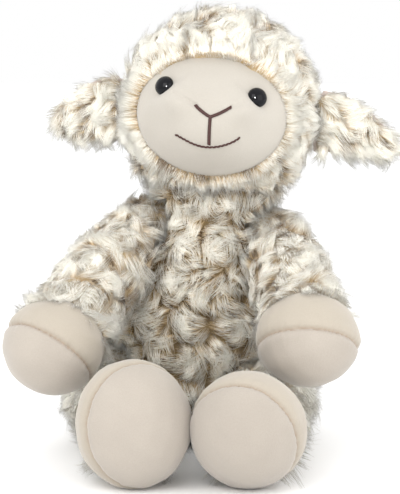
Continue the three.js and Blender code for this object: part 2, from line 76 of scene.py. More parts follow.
PAWS = {
    "right": {"side": -1, "centre": (-67, -100.1, 67.4), "radii": (27, 24.2, 26),
              "palm": (-0.45, -0.55, -0.7), "offset": 4},
    "left": {"side": 1, "centre": (68.6, -101.8, 73.3), "radii": (27.5, 23.6, 25.1),
             "palm": (0, -0.6, -0.8), "offset": 5},
}
WRIST_BACK = 12
FOOT = {"radii": (30.2, 26.5, 34.2), "offset": 6, "forward": 135, "flat": 0.5}
FEET = {
    "right": {"side": -1, "across": -20.4, "pitch": math.radians(8), "sole": (0.41, -0.91, 0)},
    "left": {"side": 1, "across": 39, "pitch": math.radians(35), "sole": (-0.25, -0.87, -0.42)},
}
HIP = {"out": 45, "forward": 25, "height": 28}
ANKLE = {"height": 22, "knee": 25.5, "back": 9}

WALL = 1.4  # the velour's own thickness
NEIGHBOUR = 4  # how far over a skin another body, or the floor, covers it
FACE_EDGE = 0.96  # the share of the face's outline from which fur grows
FLOOR_GAP = 0.0003  # how far the strands stay above the floor, in metres
LOOSE_TIP = 0.0026  # how far a single strand's tip strays, in metres
# The colour of the painted shade along the seams of the paws and feet
SEAM_SHADE = (0.36, 0.27, 0.2)
# How a paw's or foot's cloth settles: at what scale it is worked out, how hard the stuffing
# presses, how far the seam shrinks, for how many frames, how near the seam the cloth is drawn,
# where it counts as far from it, and how far it may move at most
CLOTH = {"scale": 10, "pressure": 4, "shrink": 0.035, "frames": 20, "near": 5, "spread": 2,
         "far": 8, "most": 3}
# The sewn groove: its depth and width, the lips and puckers beside it, its painted shade's width
GROOVE = {"depth": 1.15, "width": 0.9, "lip": 0.25, "lip_out": 3.5, "lip_width": 2.5,
          "pucker": 0.11, "pucker_width": 4.5, "shade_width": 0.75}
NOSE_STITCH = {"length": 2.1, "thickness": 0.55, "lift": 0.35, "step": 0.3}
MOUTH_STITCH = {"length": 3.0, "thickness": 1.2, "lift": 0.25, "step": 2.2}

# In metres: what the camera looks at, and where each light stands and how wide it is
AIM = Vector((0.006, -0.0207, 0.112))
LIGHTS = {"key": ((-0.35, -1.1, 0.85), 0.8), "fill": ((0.9, -0.8, 0.5), 1.0),
          "glint": ((0.04, -1.27, 0.56), 0.2)}

# How each body's fur lies: the voxels and depth of its backing, how high its puffs stand and how
# far apart they are, the pile's length, how brown its roots are, how much it whirls in each puff,
# which way it is combed, how far its tips draw together and swirl, and how thickly it grows
PELT_FIELDS = ("voxel", "sink", "puff", "pitch", "length", "brown", "whorl", "comb", "clump",
               "swirl", "crowd", "backing")
PELT_ROWS = {
    "torso": (2.4, 3.0, 4.0, 17, 12, 0.57, 1, (0, 0, -0.6), 0.3, 0.5, 0.72, "brown"),
    "head": (2.4, 3.0, 1.3, 19, 11, 0.38, 0.75, (0, 0.4, -0.6), 0.14, 0.3, 0.95, "cream"),
    "right_arm": (2.2, 3.0, 0.9, 18, 12, 0.26, 0.9, (-0.2, -0.4, -0.3), 0.18, 0.4, 0.8, "cream"),
    "left_arm": (2.2, 3.0, 0.9, 18, 12, 0.26, 0.9, (0.2, -0.4, -0.3), 0.18, 0.4, 0.8, "cream"),
    "right_leg": (2.2, 3.0, 2.0, 19, 14, 0.2, 0.7, (-0.5, -0.6, -0.1), 0.18, 0.4, 0.55, "cream"),
    "left_leg": (2.2, 3.0, 2.0, 19, 14, 0.2, 0.7, (0.5, -0.6, -0.1), 0.18, 0.4, 0.55, "cream"),
    "right_ear": (1.3, 1.6, 1.2, 14, 10, 1.0, 0.6, (-0.5, 0, -0.6), 0.15, 0.4, 1.1, "cream"),
    "left_ear": (1.3, 1.6, 1.2, 14, 10, 0.8, 0.6, (0.5, 0, -0.5), 0.15, 0.4, 1.1, "cream"),
    "tail": (1.8, 2.4, 1.5, 15, 10, 0.5, 0.5, (0, 0.6, -0.8), 0.18, 0.4, 0.8, "cream"),
}
PELTS = {body: dict(zip(PELT_FIELDS, row)) for body, row in PELT_ROWS.items()}


def leaned(x, y, z):
    """A place in the torso's upright frame, after the toy leans."""
    return Matrix.Rotation(LEAN, 3, "Y") @ Vector((x, y, z))


HEAD = (Matrix.Translation(leaned(*HEAD_PLACE) * MM) @ Matrix.Rotation(HEAD_YAW, 4, "Z")
        @ Matrix.Rotation(LEAN, 4, "Y"))


# Nodes


class Bench:
    """Adds nodes to a tree and joins their sockets, so that a formula reads in a line."""

    def __init__(self, tree):
        self.tree = tree

    def add(self, kind, inputs=None, **settings):
        node = self.tree.nodes.new(kind)
        for key, value in settings.items():
            setattr(node, key, value)
        live = [socket for socket in node.inputs if socket.enabled]
        for key, value in (inputs or {}).items():
            socket = live[key] if isinstance(key, int) else next(s for s in live if s.name == key)
            if isinstance(value, bpy.types.NodeSocket):
                self.tree.links.new(value, socket)
            else:
                socket.default_value = value
        return node

    def out(self, node, name=None):
        live = [socket for socket in node.outputs if socket.enabled]
        return next(s for s in live if s.name == name) if name else live[0]

    def made(self, kind, inputs=None, **settings):
        """The first output of a new node."""
        return self.out(self.add(kind, inputs, **settings))

    def number(self, operation, *values):
        return self.made("ShaderNodeMath", dict(enumerate(values)), operation=operation)

    def vector(self, operation, *values):
        return self.made("ShaderNodeVectorMath", dict(enumerate(values)), operation=operation)

    def product(self, first, *others):
        for value in others:
            first = self.number("MULTIPLY", first, value)
        return first

    def total(self, first, *others):
        """The sum of vectors."""
        for value in others:
            first = self.vector("ADD", first, value)
        return first

    def parts(self, vector):
        return self.add("ShaderNodeSeparateXYZ", {0: vector}).outputs[:3]

    def join(self, x, y, z=0.0):
        return self.made("ShaderNodeCombineXYZ", {0: x, 1: y, 2: z})

    def between(self, share, low, high):
        """low where share is 0, high where it is 1."""
        return self.made("ShaderNodeMapRange", {0: share, 3: low, 4: high})

    def share(self, value, low, high, **settings):
        """0 where a value is low, 1 where it is high."""
        return self.made("ShaderNodeMapRange", {0: value, 1: low, 2: high}, **settings)

    def place(self):
        """Where a shaded point is on its piece."""
        return self.add("ShaderNodeTexCoord").outputs["Object"]

    def noise(self, place, scale, detail=2.0, roughness=0.5):
        return self.made("ShaderNodeTexNoise", {
            "Vector": place, "Scale": scale, "Detail": detail, "Roughness": roughness})

    def mix(self, share, low, high):
        """The low colour where share is 0, the high one where it is 1."""
        return self.made("ShaderNodeMix", {0: share, "A": low, "B": high}, data_type="RGBA")


def socket_ids(tree):
    return {item.name: item.identifier for item in tree.interface.items_tree
            if item.item_type == "SOCKET" and item.in_out == "INPUT"}


def new_tree(name, inputs, outputs, kind="ShaderNodeTree"):
    """A node group with the named sockets, a bench for it, and what it is given."""
    tree = bpy.data.node_groups.new(name, kind)
    for way, sockets in (("INPUT", inputs), ("OUTPUT", outputs)):
        for label, sort in sockets.items():
            tree.interface.new_socket(label, in_out=way, socket_type=f"NodeSocket{sort}")
    bench = Bench(tree)
    return tree, bench, bench.add("NodeGroupInput").outputs


def new_growth(name, sizes):
    """A Geometry Nodes tree with a geometry input and the named inputs."""
    geometry = {"Geometry": "Geometry"}
    return new_tree(name, {**geometry, **sizes}, geometry, "GeometryNodeTree")


def grown(source, tree, values, name):
    """The plain mesh that a tree makes on an object, as a new object."""
    modifier = source.modifiers.new("Grow", "NODES")
    modifier.node_group = tree
    ids = socket_ids(tree)
    for label, value in values.items():
        modifier[ids[label]] = value
    made = plain(source, name)
    source.modifiers.remove(modifier)
    return made


def plain(source, name):
    """An object with the source's evaluated mesh and no modifiers."""
    bpy.context.view_layer.update()
    graph = bpy.context.evaluated_depsgraph_get()
    mesh = bpy.data.meshes.new_from_object(
        source.evaluated_get(graph), preserve_all_data_layers=True, depsgraph=graph)
    mesh.name = name
    return shown(name, mesh)


def shown(name, mesh):
    thing = bpy.data.objects.new(name, mesh)
    bpy.context.scene.collection.objects.link(thing)
    return thing


def finished(thing, body, nodes=(), finish=None):
    """Gives a piece its finish and hands it to the frame."""
    if finish:
        thing.data.materials.clear()
        thing.data.materials.append(finish)
    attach(thing, body)
    if nodes:
        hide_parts(*nodes)


# Finishes


class Finish(Bench):
    """A new material, with a bench for its nodes."""

    def __init__(self, name):
        self.material = bpy.data.materials.new(name)
        self.material.use_nodes = True
        super().__init__(self.material.node_tree)
        self.shader = self.tree.nodes["Principled BSDF"]

    def dressed(self, colour, height=None, bump=(0, 0), **plain):
        """The material, given its colour, its bump's strength and depth, and plain values."""
        self.tree.links.new(colour, self.shader.inputs["Base Color"])
        if height is not None:
            normal = self.made("ShaderNodeBump", {
                "Strength": bump[0], "Distance": bump[1], "Height": height})
            self.tree.links.new(normal, self.shader.inputs["Normal"])
        for label, value in plain.items():
            self.shader.inputs[label.replace("_", " ")].default_value = value
        return self.material


def fading_group():
    """Brown at the roots, pale at the tips: more brown where the tint is high."""
    group, bench, given = new_tree("Fading pile", {
        "Tint": "Float", "Along": "Float", "Tip": "Color", "Cream": "Color", "Tan": "Color",
        "Brown": "Color"}, {"Color": "Color"})
    tint = given["Tint"]
    faded = bench.share(given["Along"], bench.between(tint, 0.0, 0.2),
                        bench.between(tint, 0.3, 0.85), interpolation_type="SMOOTHSTEP")
    pale = bench.mix(bench.share(tint, 0.05, 0.5), given["Cream"], given["Tan"])
    root = bench.mix(bench.share(tint, 0.5, 1.0), pale, given["Brown"])
    bench.add("NodeGroupOutput", {0: bench.mix(faded, root, given["Tip"])})
    return group


def nap_group():
    """The short nap of velour: a soft mottle in its colour and a fine height for its bump."""
    group, bench, given = new_tree(
        "Short nap", {"Light": "Color", "Shade": "Color", "Grain": "Float", "Mottle": "Float"},
        {"Color": "Color", "Height": "Float"})
    place, grain = bench.place(), given["Grain"]
    fine = bench.noise(place, grain, 3.0, 0.7)
    ribs = bench.noise(bench.vector("MULTIPLY", place, (1.0, 1.0, 0.25)), grain, 1.0)
    soft = bench.noise(place, given["Mottle"])
    mottle = bench.number("MULTIPLY_ADD", soft, 0.9, bench.product(fine, 0.6))
    tone = bench.mix(bench.share(mottle, 0.45, 1.05), given["Shade"], given["Light"])
    bench.add("NodeGroupOutput", {0: tone, 1: bench.number("MULTIPLY_ADD", ribs, 0.6, fine)})
    return group


def fur_finish(name, group, tip, cream, tan, brown):
    bench = Finish(name)
    across, along, _ = bench.parts(bench.made("ShaderNodeUVMap", uv_map=FUR_MAP))
    faded = bench.made("ShaderNodeGroup", {
        "Tint": across, "Along": along, "Tip": (*tip, 1), "Cream": (*cream, 1), "Tan": (*tan, 1),
        "Brown": (*brown, 1)}, node_tree=group)
    bench.shader.subsurface_method = "BURLEY"
    return bench.dressed(
        faded, Roughness=0.7, Specular_IOR_Level=0.08, Sheen_Weight=0.5, Sheen_Roughness=0.6,
        Subsurface_Weight=1.0, Subsurface_Radius=(1, 1, 0.95), Subsurface_Scale=0.005)


def backing_finish(name, light, dark):
    bench = Finish(name)
    place = bench.place()
    spots = bench.share(bench.noise(place, 90.0, 4.0), 0.35, 0.65)
    return bench.dressed(
        bench.mix(spots, (*dark, 1), (*light, 1)), bench.noise(place, 900.0), (0.6, 0.0005),
        Roughness=0.95, Specular_IOR_Level=0.1)


def velour_finish(name, group, light, shade, grain=1500.0):
    bench = Finish(name)
    nap = bench.add("ShaderNodeGroup", {
        "Light": (*light, 1), "Shade": (*shade, 1), "Grain": grain, "Mottle": 28.0},
        node_tree=group).outputs
    # Along the seams the nap's colour gives way to a painted shade of the groove
    sewn = bench.out(bench.add("ShaderNodeAttribute", attribute_name="sewn"), "Fac")
    return bench.dressed(
        bench.mix(sewn, nap["Color"], (*SEAM_SHADE, 1)), nap["Height"], (0.45, 0.00025),
        Roughness=0.85, Specular_IOR_Level=0.2, Sheen_Weight=0.35, Sheen_Roughness=0.5)


def glossy_finish(name, light, dark, roughness):
    bench = Finish(name)
    haze = bench.noise(bench.place(), 220.0, 3.0)
    rough = bench.between(haze, roughness * 0.7, roughness * 1.4)
    bench.tree.links.new(rough, bench.shader.inputs["Roughness"])
    return bench.dressed(bench.mix(haze, (*dark, 1), (*light, 1)), IOR=1.3)


def thread_finish(name, light, dark):
    bench = Finish(name)
    fine = bench.noise(bench.place(), 2600.0)
    return bench.dressed(bench.mix(fine, (*dark, 1), (*light, 1)), fine, (0.3, 0.0001),
                         Roughness=0.55, Specular_IOR_Level=0.3)


FINISHES = {}


def finishes():
    """The toy's finishes, made once."""
    if FINISHES:
        return FINISHES
    paint = bpy.context.scene.sheep_colours
    fading, nap = fading_group(), nap_group()
    tan_cloth, cream_cloth = [0.6 * v for v in paint.tan], [0.8 * v for v in paint.cream]
    FINISHES.update(
        fur=fur_finish("Curled fur", fading, paint.tip, paint.cream, paint.tan, paint.brown),
        brown_backing=backing_finish("Brown fur backing", tan_cloth, paint.brown),
        cream_backing=backing_finish("Cream fur backing", cream_cloth, paint.tan),
        face=velour_finish("Face velour", nap, paint.face, paint.face_shade),
        velour=velour_finish("Cream velour", nap, paint.velour, paint.velour_shade),
        sole=velour_finish("Sole velour", nap, paint.sole, paint.sole_shade),
        lining=velour_finish("Ear lining", nap, paint.lining, paint.lining_shade, 1100.0),
        eye=glossy_finish("Eye plastic", (0.004, 0.004, 0.006), (0.001, 0.001, 0.002), 0.04),
        washer=glossy_finish("Washer plastic", (0.85, 0.85, 0.82), (0.75, 0.75, 0.72), 0.4),
        thread=thread_finish("Brown thread", paint.thread, paint.thread_shade),
        stuffing=backing_finish("White stuffing", (0.9, 0.9, 0.88), (0.75, 0.75, 0.73)),
        bag=velour_finish("Bag cloth", nap, (0.7, 0.68, 0.6), (0.55, 0.52, 0.46), 700.0),
    )
    return FINISHES


# Fur


def curled_pile_tree():
    """Strands on a pelt: each is a ribbon on an arc, drawn towards the middle of its lock."""
    tree, bench, given = new_growth("Curled pile", {
        "Strands per area": "Float", "Lock spacing": "Float", "Length": "Float", "Width": "Float",
        "Curl": "Float", "Swirl": "Float", "Clump": "Float", "Stray": "Float", "Seed": "Int",
        "Finish": "Material"})

    def named(name, kind="FLOAT"):
        return bench.made("GeometryNodeInputNamedAttribute", {"Name": name}, data_type=kind)

    def kept(geometry, name, value, kind="FLOAT", domain="POINT"):
        return bench.made(
            "GeometryNodeStoreNamedAttribute", {"Geometry": geometry, "Name": name, "Value": value},
            data_type=kind, domain=domain)

    def chance(seed, low=(0, 0, 0), high=(1, 1, 1)):
        return bench.made(
            "FunctionNodeRandomValue", {"Min": low, "Max": high, "Seed": seed},
            data_type="FLOAT_VECTOR")

    def swung(first, second, turn):
        """The first way, turned by an angle towards the second."""
        return bench.total(bench.vector("SCALE", first, bench.number("COSINE", turn)),
                           bench.vector("SCALE", second, bench.number("SINE", turn)))

    place = bench.made("GeometryNodeInputPosition")
    crowd = bench.number("DIVIDE", 1.3, bench.number("POWER", given["Lock spacing"], 2.0))
    middles = bench.add(
        "GeometryNodeDistributePointsOnFaces",
        {"Mesh": given["Geometry"], "Distance Min": given["Lock spacing"], "Density Max": crowd,
         "Density Factor": named("locks"), "Seed": given["Seed"]}, distribute_method="POISSON")
    locks = kept(bench.out(middles), "way_out", middles.outputs["Normal"], "FLOAT_VECTOR")
    second = bench.number("ADD", given["Seed"], 1.0)
    strands = bench.add(
        "GeometryNodeDistributePointsOnFaces",
        {"Mesh": given["Geometry"], "Seed": second,
         "Density": bench.product(given["Strands per area"], named("pile"))},
        distribute_method="RANDOM")
    nearest = bench.made("GeometryNodeSampleNearest", {"Geometry": locks})

    def of_lock(value):
        return bench.made(
            "GeometryNodeSampleIndex", {"Geometry": locks, "Value": value, "Index": nearest},
            data_type="FLOAT_VECTOR")

    out_way = bench.vector("NORMALIZE", bench.total(
        bench.vector("SCALE", strands.outputs["Normal"], 1.2), named("forward", "FLOAT_VECTOR"),
        of_lock(named("way_out", "FLOAT_VECTOR"))))
    wander = bench.vector("SCALE", chance(11, (-1, -1, -1)), given["Stray"])
    run = of_lock(bench.vector("ADD", named("lay", "FLOAT_VECTOR"), wander))
    lift = bench.vector("SCALE", out_way, bench.vector("DOT_PRODUCT", run, out_way))
    run = bench.vector("NORMALIZE", bench.vector("SUBTRACT", run, lift))
    points = bench.out(strands)
    for name, value in (
            ("up", out_way), ("run", run), ("root", place), ("whim", of_lock(chance(12))),
            ("lock", bench.vector("SUBTRACT", of_lock(place), place)), ("stray", chance(13))):
        points = kept(points, name, value, "FLOAT_VECTOR")

    ribbon = bench.made("GeometryNodeMeshGrid", {
        "Size X": 1.0, "Size Y": 1.0, "Vertices X": 2, "Vertices Y": 4})
    side, along, _ = bench.parts(place)
    ribbon = kept(ribbon, "side", side)
    ribbon = kept(ribbon, "along", bench.number("ADD", along, 0.5))
    laid = bench.made("GeometryNodeInstanceOnPoints", {"Points": points, "Instance": ribbon})
    laid = bench.made("GeometryNodeRealizeInstances", {"Geometry": laid})

    side, along = named("side"), named("along")
    up, run = named("up", "FLOAT_VECTOR"), named("run", "FLOAT_VECTOR")
    curl_whim, length_whim, swirl_whim = bench.parts(named("whim", "FLOAT_VECTOR"))
    stray = named("stray", "FLOAT_VECTOR")
    long_stray, tilt_stray, tint_stray = bench.parts(stray)
    flat_share = bench.number("SUBTRACT", 1.0, bench.product(0.65, named("stand")))
    start = bench.product(bench.between(curl_whim, 0.8, 1.15), flat_share)
    bend = bench.product(given["Curl"], bench.between(length_whim, 0.6, 1.4))
    turned = bench.number("MULTIPLY_ADD", bend, along, start)
    share = bench.between(bench.number("POWER", long_stray, 0.6), 0.25, 1.15)
    length = bench.product(given["Length"], share, named("reach"),
                           bench.between(swirl_whim, 0.85, 1.12))
    ratio = bench.number("DIVIDE", length, bend)
    rise = bench.product(ratio, bench.number(
        "SUBTRACT", bench.number("SINE", turned), bench.number("SINE", start)))
    go = bench.product(ratio, bench.number(
        "SUBTRACT", bench.number("COSINE", start), bench.number("COSINE", turned)))
    swirl = bench.product(given["Swirl"], along, bench.between(swirl_whim, -1.0, 1.0))
    heading = swung(run, bench.vector("CROSS_PRODUCT", up, run), swirl)
    path = bench.total(bench.vector("SCALE", up, rise), bench.vector("SCALE", heading, go))
    drawn = bench.product(given["Clump"], bench.between(long_stray, 0.1, 1.3),
                          bench.number("POWER", along, 1.4))
    pull = bench.vector("SCALE", named("lock", "FLOAT_VECTOR"), drawn)
    loose = bench.vector("SCALE", bench.vector("SUBTRACT", stray, (0.5, 0.5, 0.5)),
                         bench.product(along, LOOSE_TIP))
    flat = bench.vector("CROSS_PRODUCT", heading, up)
    edge = bench.vector("CROSS_PRODUCT", flat, swung(up, heading, turned))
    broad = swung(flat, edge, bench.between(tilt_stray, -0.75, 0.75))
    taper = bench.number("SUBTRACT", 1.0, bench.product(0.85, bench.number("POWER", along, 1.5)))
    width = bench.product(side, given["Width"], taper)
    spot = bench.total(named("root", "FLOAT_VECTOR"), path, bench.total(pull, loose),
                       bench.vector("SCALE", broad, width))
    x, y, z = bench.parts(spot)
    spot = bench.join(x, y, bench.number("MAXIMUM", z, FLOOR_GAP))
    laid = bench.made("GeometryNodeSetPosition", {"Geometry": laid, "Position": spot})
    tint = bench.product(named("brown"), bench.between(tint_stray, 0.65, 1.35))
    tint = bench.number("MULTIPLY_ADD", side, 0.02, bench.number("MINIMUM", tint, 0.96))
    paled = bench.product(along, bench.number("MINIMUM", share, 1.0))
    laid = kept(laid, FUR_MAP, bench.join(bench.number("MAXIMUM", tint, 0.02), paled),
                "FLOAT2", "CORNER")
    laid = bench.made("GeometryNodeSetShadeSmooth", {"Geometry": laid})
    laid = bench.made("GeometryNodeSetMaterial", {"Geometry": laid, "Material": given["Finish"]})
    bench.add("NodeGroupOutput", {0: laid})
    return tree


TREES = {}


def tree_named(name, maker):
    if name not in TREES:
        TREES[name] = maker()
    return TREES[name]


def nodes_of(body):
    return list(frame["record"]["behaviour"]["bodies"][body])


def merged(names):
    """The named CAD nodes' meshes in one, with their doubles merged."""
    body = bmesh.new()
    for name in names:
        body.from_mesh(frame["nodes"][name].data)
    bmesh.ops.remove_doubles(body, verts=body.verts, dist=1e-6)
    return body


def nearest_tree(names):
    body = merged(names)
    found = BVHTree.FromBMesh(body)
    body.free()
    return found


def smoothed_solid(names, voxel, rounds, name):
    """One closed, even skin over the named nodes."""
    body = merged(names)
    mesh = bpy.data.meshes.new(name)
    body.to_mesh(mesh)
    body.free()
    rough = shown(name + "_rough", mesh)
    remesh = rough.modifiers.new("Remesh", "REMESH")
    remesh.mode = "VOXEL"
    remesh.voxel_size = voxel * MM
    smooth = rough.modifiers.new("Smooth", "SMOOTH")
    smooth.factor = 0.5
    smooth.iterations = rounds
    made = plain(rough, name)
    bpy.data.objects.remove(rough)
    made.data.materials.clear()
    return made


def places_of(mesh):
    places = np.empty(len(mesh.vertices) * 3)
    mesh.vertices.foreach_get("co", places)
    return places.reshape(-1, 3)


def normals_of(mesh):
    normals = np.empty(len(mesh.vertices) * 3)
    mesh.vertex_normals.foreach_get("vector", normals)
    return normals.reshape(-1, 3)


def unit(vectors):
    return vectors / np.maximum(np.linalg.norm(vectors, axis=-1, keepdims=True), 1e-9)


def scattered(places, pitch, chances):
    """Indices of points at least a pitch apart."""
    gap = np.full(len(places), np.inf)
    kept = []
    while (gap > pitch).any():
        index = chances.choice(np.flatnonzero(gap > pitch))
        kept.append(index)
        gap = np.minimum(gap, np.linalg.norm(places - places[index], axis=1))
    return np.array(kept)


def puffs(places, normals, pitch, chances):
    """Soft puffs all over a skin: how high each place stands in its puff, how near it is to a
    parting and to the corner where partings meet, which way the pile whirls into the puff, and each
    puff's own shade."""
    middles = scattered(places, pitch, chances)
    gaps = np.linalg.norm(places[:, None] - places[None, middles], axis=2)
    first, second, third = np.sort(gaps, axis=1)[:, :3].T
    owner = gaps.argmin(1)
    edge = np.exp(-((second - first) / (0.2 * pitch)) ** 2)
    corner = np.exp(-((third - first) / (0.3 * pitch)) ** 2)
    share = 2 * first / (first + second)
    parting = 0.35 * edge + 0.65 * corner
    star = corner * chances.uniform(0.2, 1.6, len(middles))[owner]
    height = np.sqrt(np.maximum(1 - share ** 2.5, 0)) * (1 - corner) * 0.6 + 0.4 * (1 - parting)
    inward = places[middles][owner] - places
    inward = unit(inward - normals * (inward * normals).sum(1, keepdims=True))
    angle = chances.uniform(0.3, 1.25, len(middles)) * chances.choice([-1, 1], len(middles))
    angle = angle[owner][:, None]
    shade = chances.uniform(0.7, 1.2, len(middles))[owner]
    lay = inward * np.cos(angle) + np.cross(normals, inward) * np.sin(angle)
    return height, parting, star, lay, shade


def face_rim(places):
    """How far round the face each place is, from 1 at its rim, and the way out from its middle."""
    local = (np.array(HEAD.inverted()) @ np.c_[places, np.ones(len(places))].T).T[:, :3] / MM
    across = (local[:, 0] - FACE["across"]) / FACE["half_width"]
    up = (local[:, 2] + FACE["drop"]) / FACE["half_height"]
    reach = np.hypot(across, up)
    away = np.c_[across / FACE["half_width"], np.zeros(len(places)), up / FACE["half_height"]]
    away = unit(away) @ np.array(HEAD.to_3x3()).T
    return np.where(local[:, 1] < 0, reach, 9.0), away


def distances(tree, places):
    return np.array([tree.find_nearest(Vector(place))[3] for place in places])


def set_values(mesh, name, values):
    """Keeps a number or a vector for each vertex, under a name."""
    kind, field = ("FLOAT_VECTOR", "vector") if values.ndim == 2 else ("FLOAT", "value")
    layer = mesh.attributes.get(name) or mesh.attributes.new(name, kind, "POINT")
    layer.data.foreach_set(field, np.ascontiguousarray(values, np.float32).ravel())


def pile_cover(body, fur_nodes, places, normals, rim):
    """Which fur node each place of a skin belongs to, how far the place is from smooth cloth, and
    how long its pile is: none on smooth cloth, and less and less under a neighbour."""
    fur = bpy.context.scene.sheep_fur
    others = nearest_tree([name for each in frame["record"]["behaviour"]["bodies"]
                           if each != body for name in nodes_of(each)])
    smooth_nodes = [n for n in nodes_of(body) if n.endswith(("face_panel", "_upper", "_sole"))]
    gaps = np.array([distances(nearest_tree([name]), places)
                     for name in (*fur_nodes, *smooth_nodes)])
    covered = np.zeros(len(places), bool)
    for index, (place, normal) in enumerate(zip(places, normals)):
        above = Vector(place + normal * NEIGHBOUR * MM)
        spot, way, _, _ = others.find_nearest(above)
        covered[index] = (above - spot).dot(way) < 0
    under = (places[:, 2] < NEIGHBOUR * MM) & (normals[:, 2] < -0.3)
    covered |= under
    from_cloth = (distances(nearest_tree(smooth_nodes), places) if smooth_nodes
                  else np.full(len(places), 1.0))
    tucked = (distances(nearest_tree(fur_nodes), places) < fur.tuck) & (from_cloth < fur.tuck)
    furry = (gaps.argmin(0) < len(fur_nodes)) | tucked
    if body == "head":
        furry = rim > FACE_EDGE
    open_places = places[~covered & furry]
    reach = np.where(covered | ~furry, 0.0, 1.0)
    for index in np.flatnonzero(covered & furry & ~under):
        gap = np.linalg.norm(open_places - places[index], axis=1).min()
        if gap < fur.margin:
            reach[index] = 0.8 - 0.6 * gap / fur.margin
    return gaps[:len(fur_nodes)].argmin(0), from_cloth, reach


def pelt(body, fur_nodes, seed):
    """A body's backing and, for each fur node, its pile."""
    fur, look, spec = bpy.context.scene.sheep_fur, finishes(), PELTS[body]
    skin = smoothed_solid(nodes_of(body), spec["voxel"], 8, f"{body}_backing")
    places, normals = places_of(skin.data), normals_of(skin.data)
    chances = np.random.default_rng(seed)
    rim, away = face_rim(places)
    fur_owner, from_cloth, reach = pile_cover(body, fur_nodes, places, normals, rim)

    height, parting, star, lay, shade = puffs(places, normals, spec["pitch"] * MM, chances)
    comb = np.array(spec["comb"])
    if body == "head":  # laid away from the face, and calmer round it
        front = np.clip(1.6 - rim / 3, 0, 1)[:, None]
        comb = comb * (1 - front) + 0.8 * away * front
        calm = 0.8 * np.clip((1.5 - rim) / 0.35, 0, 1)
        lay = lay * (1 - calm[:, None])
        height = height * (1 - calm) + 0.55 * calm
        parting = parting * (1 - calm) + 0.5 * calm
    lay = spec["whorl"] * lay + comb
    if body == "torso":  # brown along each parting, less at the back, more low down
        brown = spec["brown"] * shade * (0.6 + 0.7 * parting)
        brown *= np.clip(1.0 - places[:, 1] / (120 * MM), 0.5, 1.0)
        brown *= 1 + 0.35 * np.clip((95 * MM - places[:, 2]) / (40 * MM), 0, 1)
    else:  # brown where partings meet
        brown = spec["brown"] * shade * (0.55 + 1.9 * star)
    if body.endswith("ear"):  # browner and longer towards the tip
        low = np.clip(0.3 - (places[:, 2] - places[:, 2].mean()) / (12 * MM), 0, 1)
        brown *= 0.35 + 3.4 * low * star
        reach = reach * (1 + 0.45 * low)
    # Below the chin: the roots' brown, and painted shade under the head
    if body == "head":  # browner below the chin
        brown *= 1 + 1.8 * np.clip((174 * MM - places[:, 2]) / (20 * MM), 0, 1)
    # The arm's brown near the body: the roots' own, and painted shade where it meets the torso
    if body.endswith("arm"):  # browner towards the shoulder
        brown *= 1 + 2.4 * np.clip(1 - np.abs(places[:, 0]) / (65 * MM), 0, 1)
    stand = np.maximum(np.clip(1.2 - from_cloth / fur.rim, 0, 1), 0.6 * parting)
    forward = np.zeros_like(places)
    crowd = spec["crowd"] * (1 + 1.2 * parting)
    reach = reach * (1 - 0.35 * parting)
    if body == "head":  # thick and forward round the face, longer on the right
        near = np.clip((1.22 - rim) / 0.16, 0, 1)[:, None]
        ahead = np.array(HEAD.to_3x3() @ Vector((0, -1, 0)))
        forward = near * (2.2 * ahead + 1.6 * away)
        crowd = np.maximum(crowd, 1 + 0.8 * near[:, 0])
        to_right = (HEAD.translation.x - places[:, 0]) / MM
        reach = reach * (1 + 0.35 * np.clip((to_right - 20) / 25, 0, 1))
        brown = np.maximum(brown, near[:, 0] * (0.08 + 1.3 * np.clip(shade - 0.8, 0, 1)))
        reach = reach * (1 - near[:, 0] * np.clip(1.1 - shade, 0, 0.4))

    depth = spec["sink"] + spec["puff"] * (1 - height)
    inwards = unit(normals * (1 - near) + ahead * near) if body == "head" else normals
    sunk = places - inwards * (depth * MM)[:, None]
    sunk[:, 2] = np.maximum(sunk[:, 2], 0.2 * MM)
    skin.data.vertices.foreach_set("co", sunk.ravel())
    skin.data.update()
    guides = {"lay": lay, "forward": forward, "brown": brown, "stand": stand,
              "reach": np.maximum(reach, 0.3), "locks": (reach > 0).astype(float)}
    for label, values in guides.items():
        set_values(skin.data, label, values)
    for number, name in enumerate(fur_nodes):
        set_values(skin.data, "pile", ((reach > 0) & (fur_owner == number)) * crowd)
        pile = grown(skin, tree_named("Curled pile", curled_pile_tree), {
            "Strands per area": fur.crowd / MM ** 2, "Lock spacing": fur.lock_spacing,
            "Length": spec["length"] * MM * fur.length, "Width": fur.width, "Curl": fur.curl,
            "Swirl": spec["swirl"] * fur.swirl, "Clump": spec["clump"] * fur.clump,
            "Stray": fur.stray, "Seed": seed, "Finish": look["fur"]}, f"{name}_pile")
        soften(pile.data)
        finished(pile, body, (name,))
    for label in (*guides, "pile"):
        skin.data.attributes.remove(skin.data.attributes[label])
    finished(skin, body, (), look[f"{spec['backing']}_backing"])
    skin.data.shade_smooth()


def soften(mesh):
    """Shades strands that lie flat by the pelt that they cover, and keeps nothing but their map."""
    up = np.empty(len(mesh.vertices) * 3, np.float32)
    mesh.attributes["up"].data.foreach_get("vector", up)
    up, own = up.reshape(-1, 3), normals_of(mesh)
    flat = np.maximum((up * own).sum(1, keepdims=True), 0) ** 2
    keep_only_map(mesh)
    mesh.normals_split_custom_set_from_vertices(unit(own + 0.8 * flat * up))


def keep_only_map(mesh):
    needed = {FUR_MAP, "position", ".edge_verts", ".corner_vert", ".corner_edge", "material_index",
              "sharp_face", "sharp_edge"}
    for name in [layer.name for layer in mesh.attributes]:
        if name not in needed:
            mesh.attributes.remove(mesh.attributes[name])


# Velour


def face_forward(x, z):
    """How far the smooth face stands forward of the head's middle, in millimetres."""
    across = x / FACE_DOME["half_width"]
    up = (z + FACE_DOME["drop"]) / FACE_DOME["half_height"]
    dome = FACE_DOME["depth"] * np.sqrt(np.maximum(1 - across ** 2 - up ** 2, 0))
    bump = SNOUT["depth"] * np.exp(
        -(x / SNOUT["half_width"]) ** 2 - ((z + SNOUT["drop"]) / SNOUT["half_height"]) ** 2)
    return FACE["base"] + dome + bump


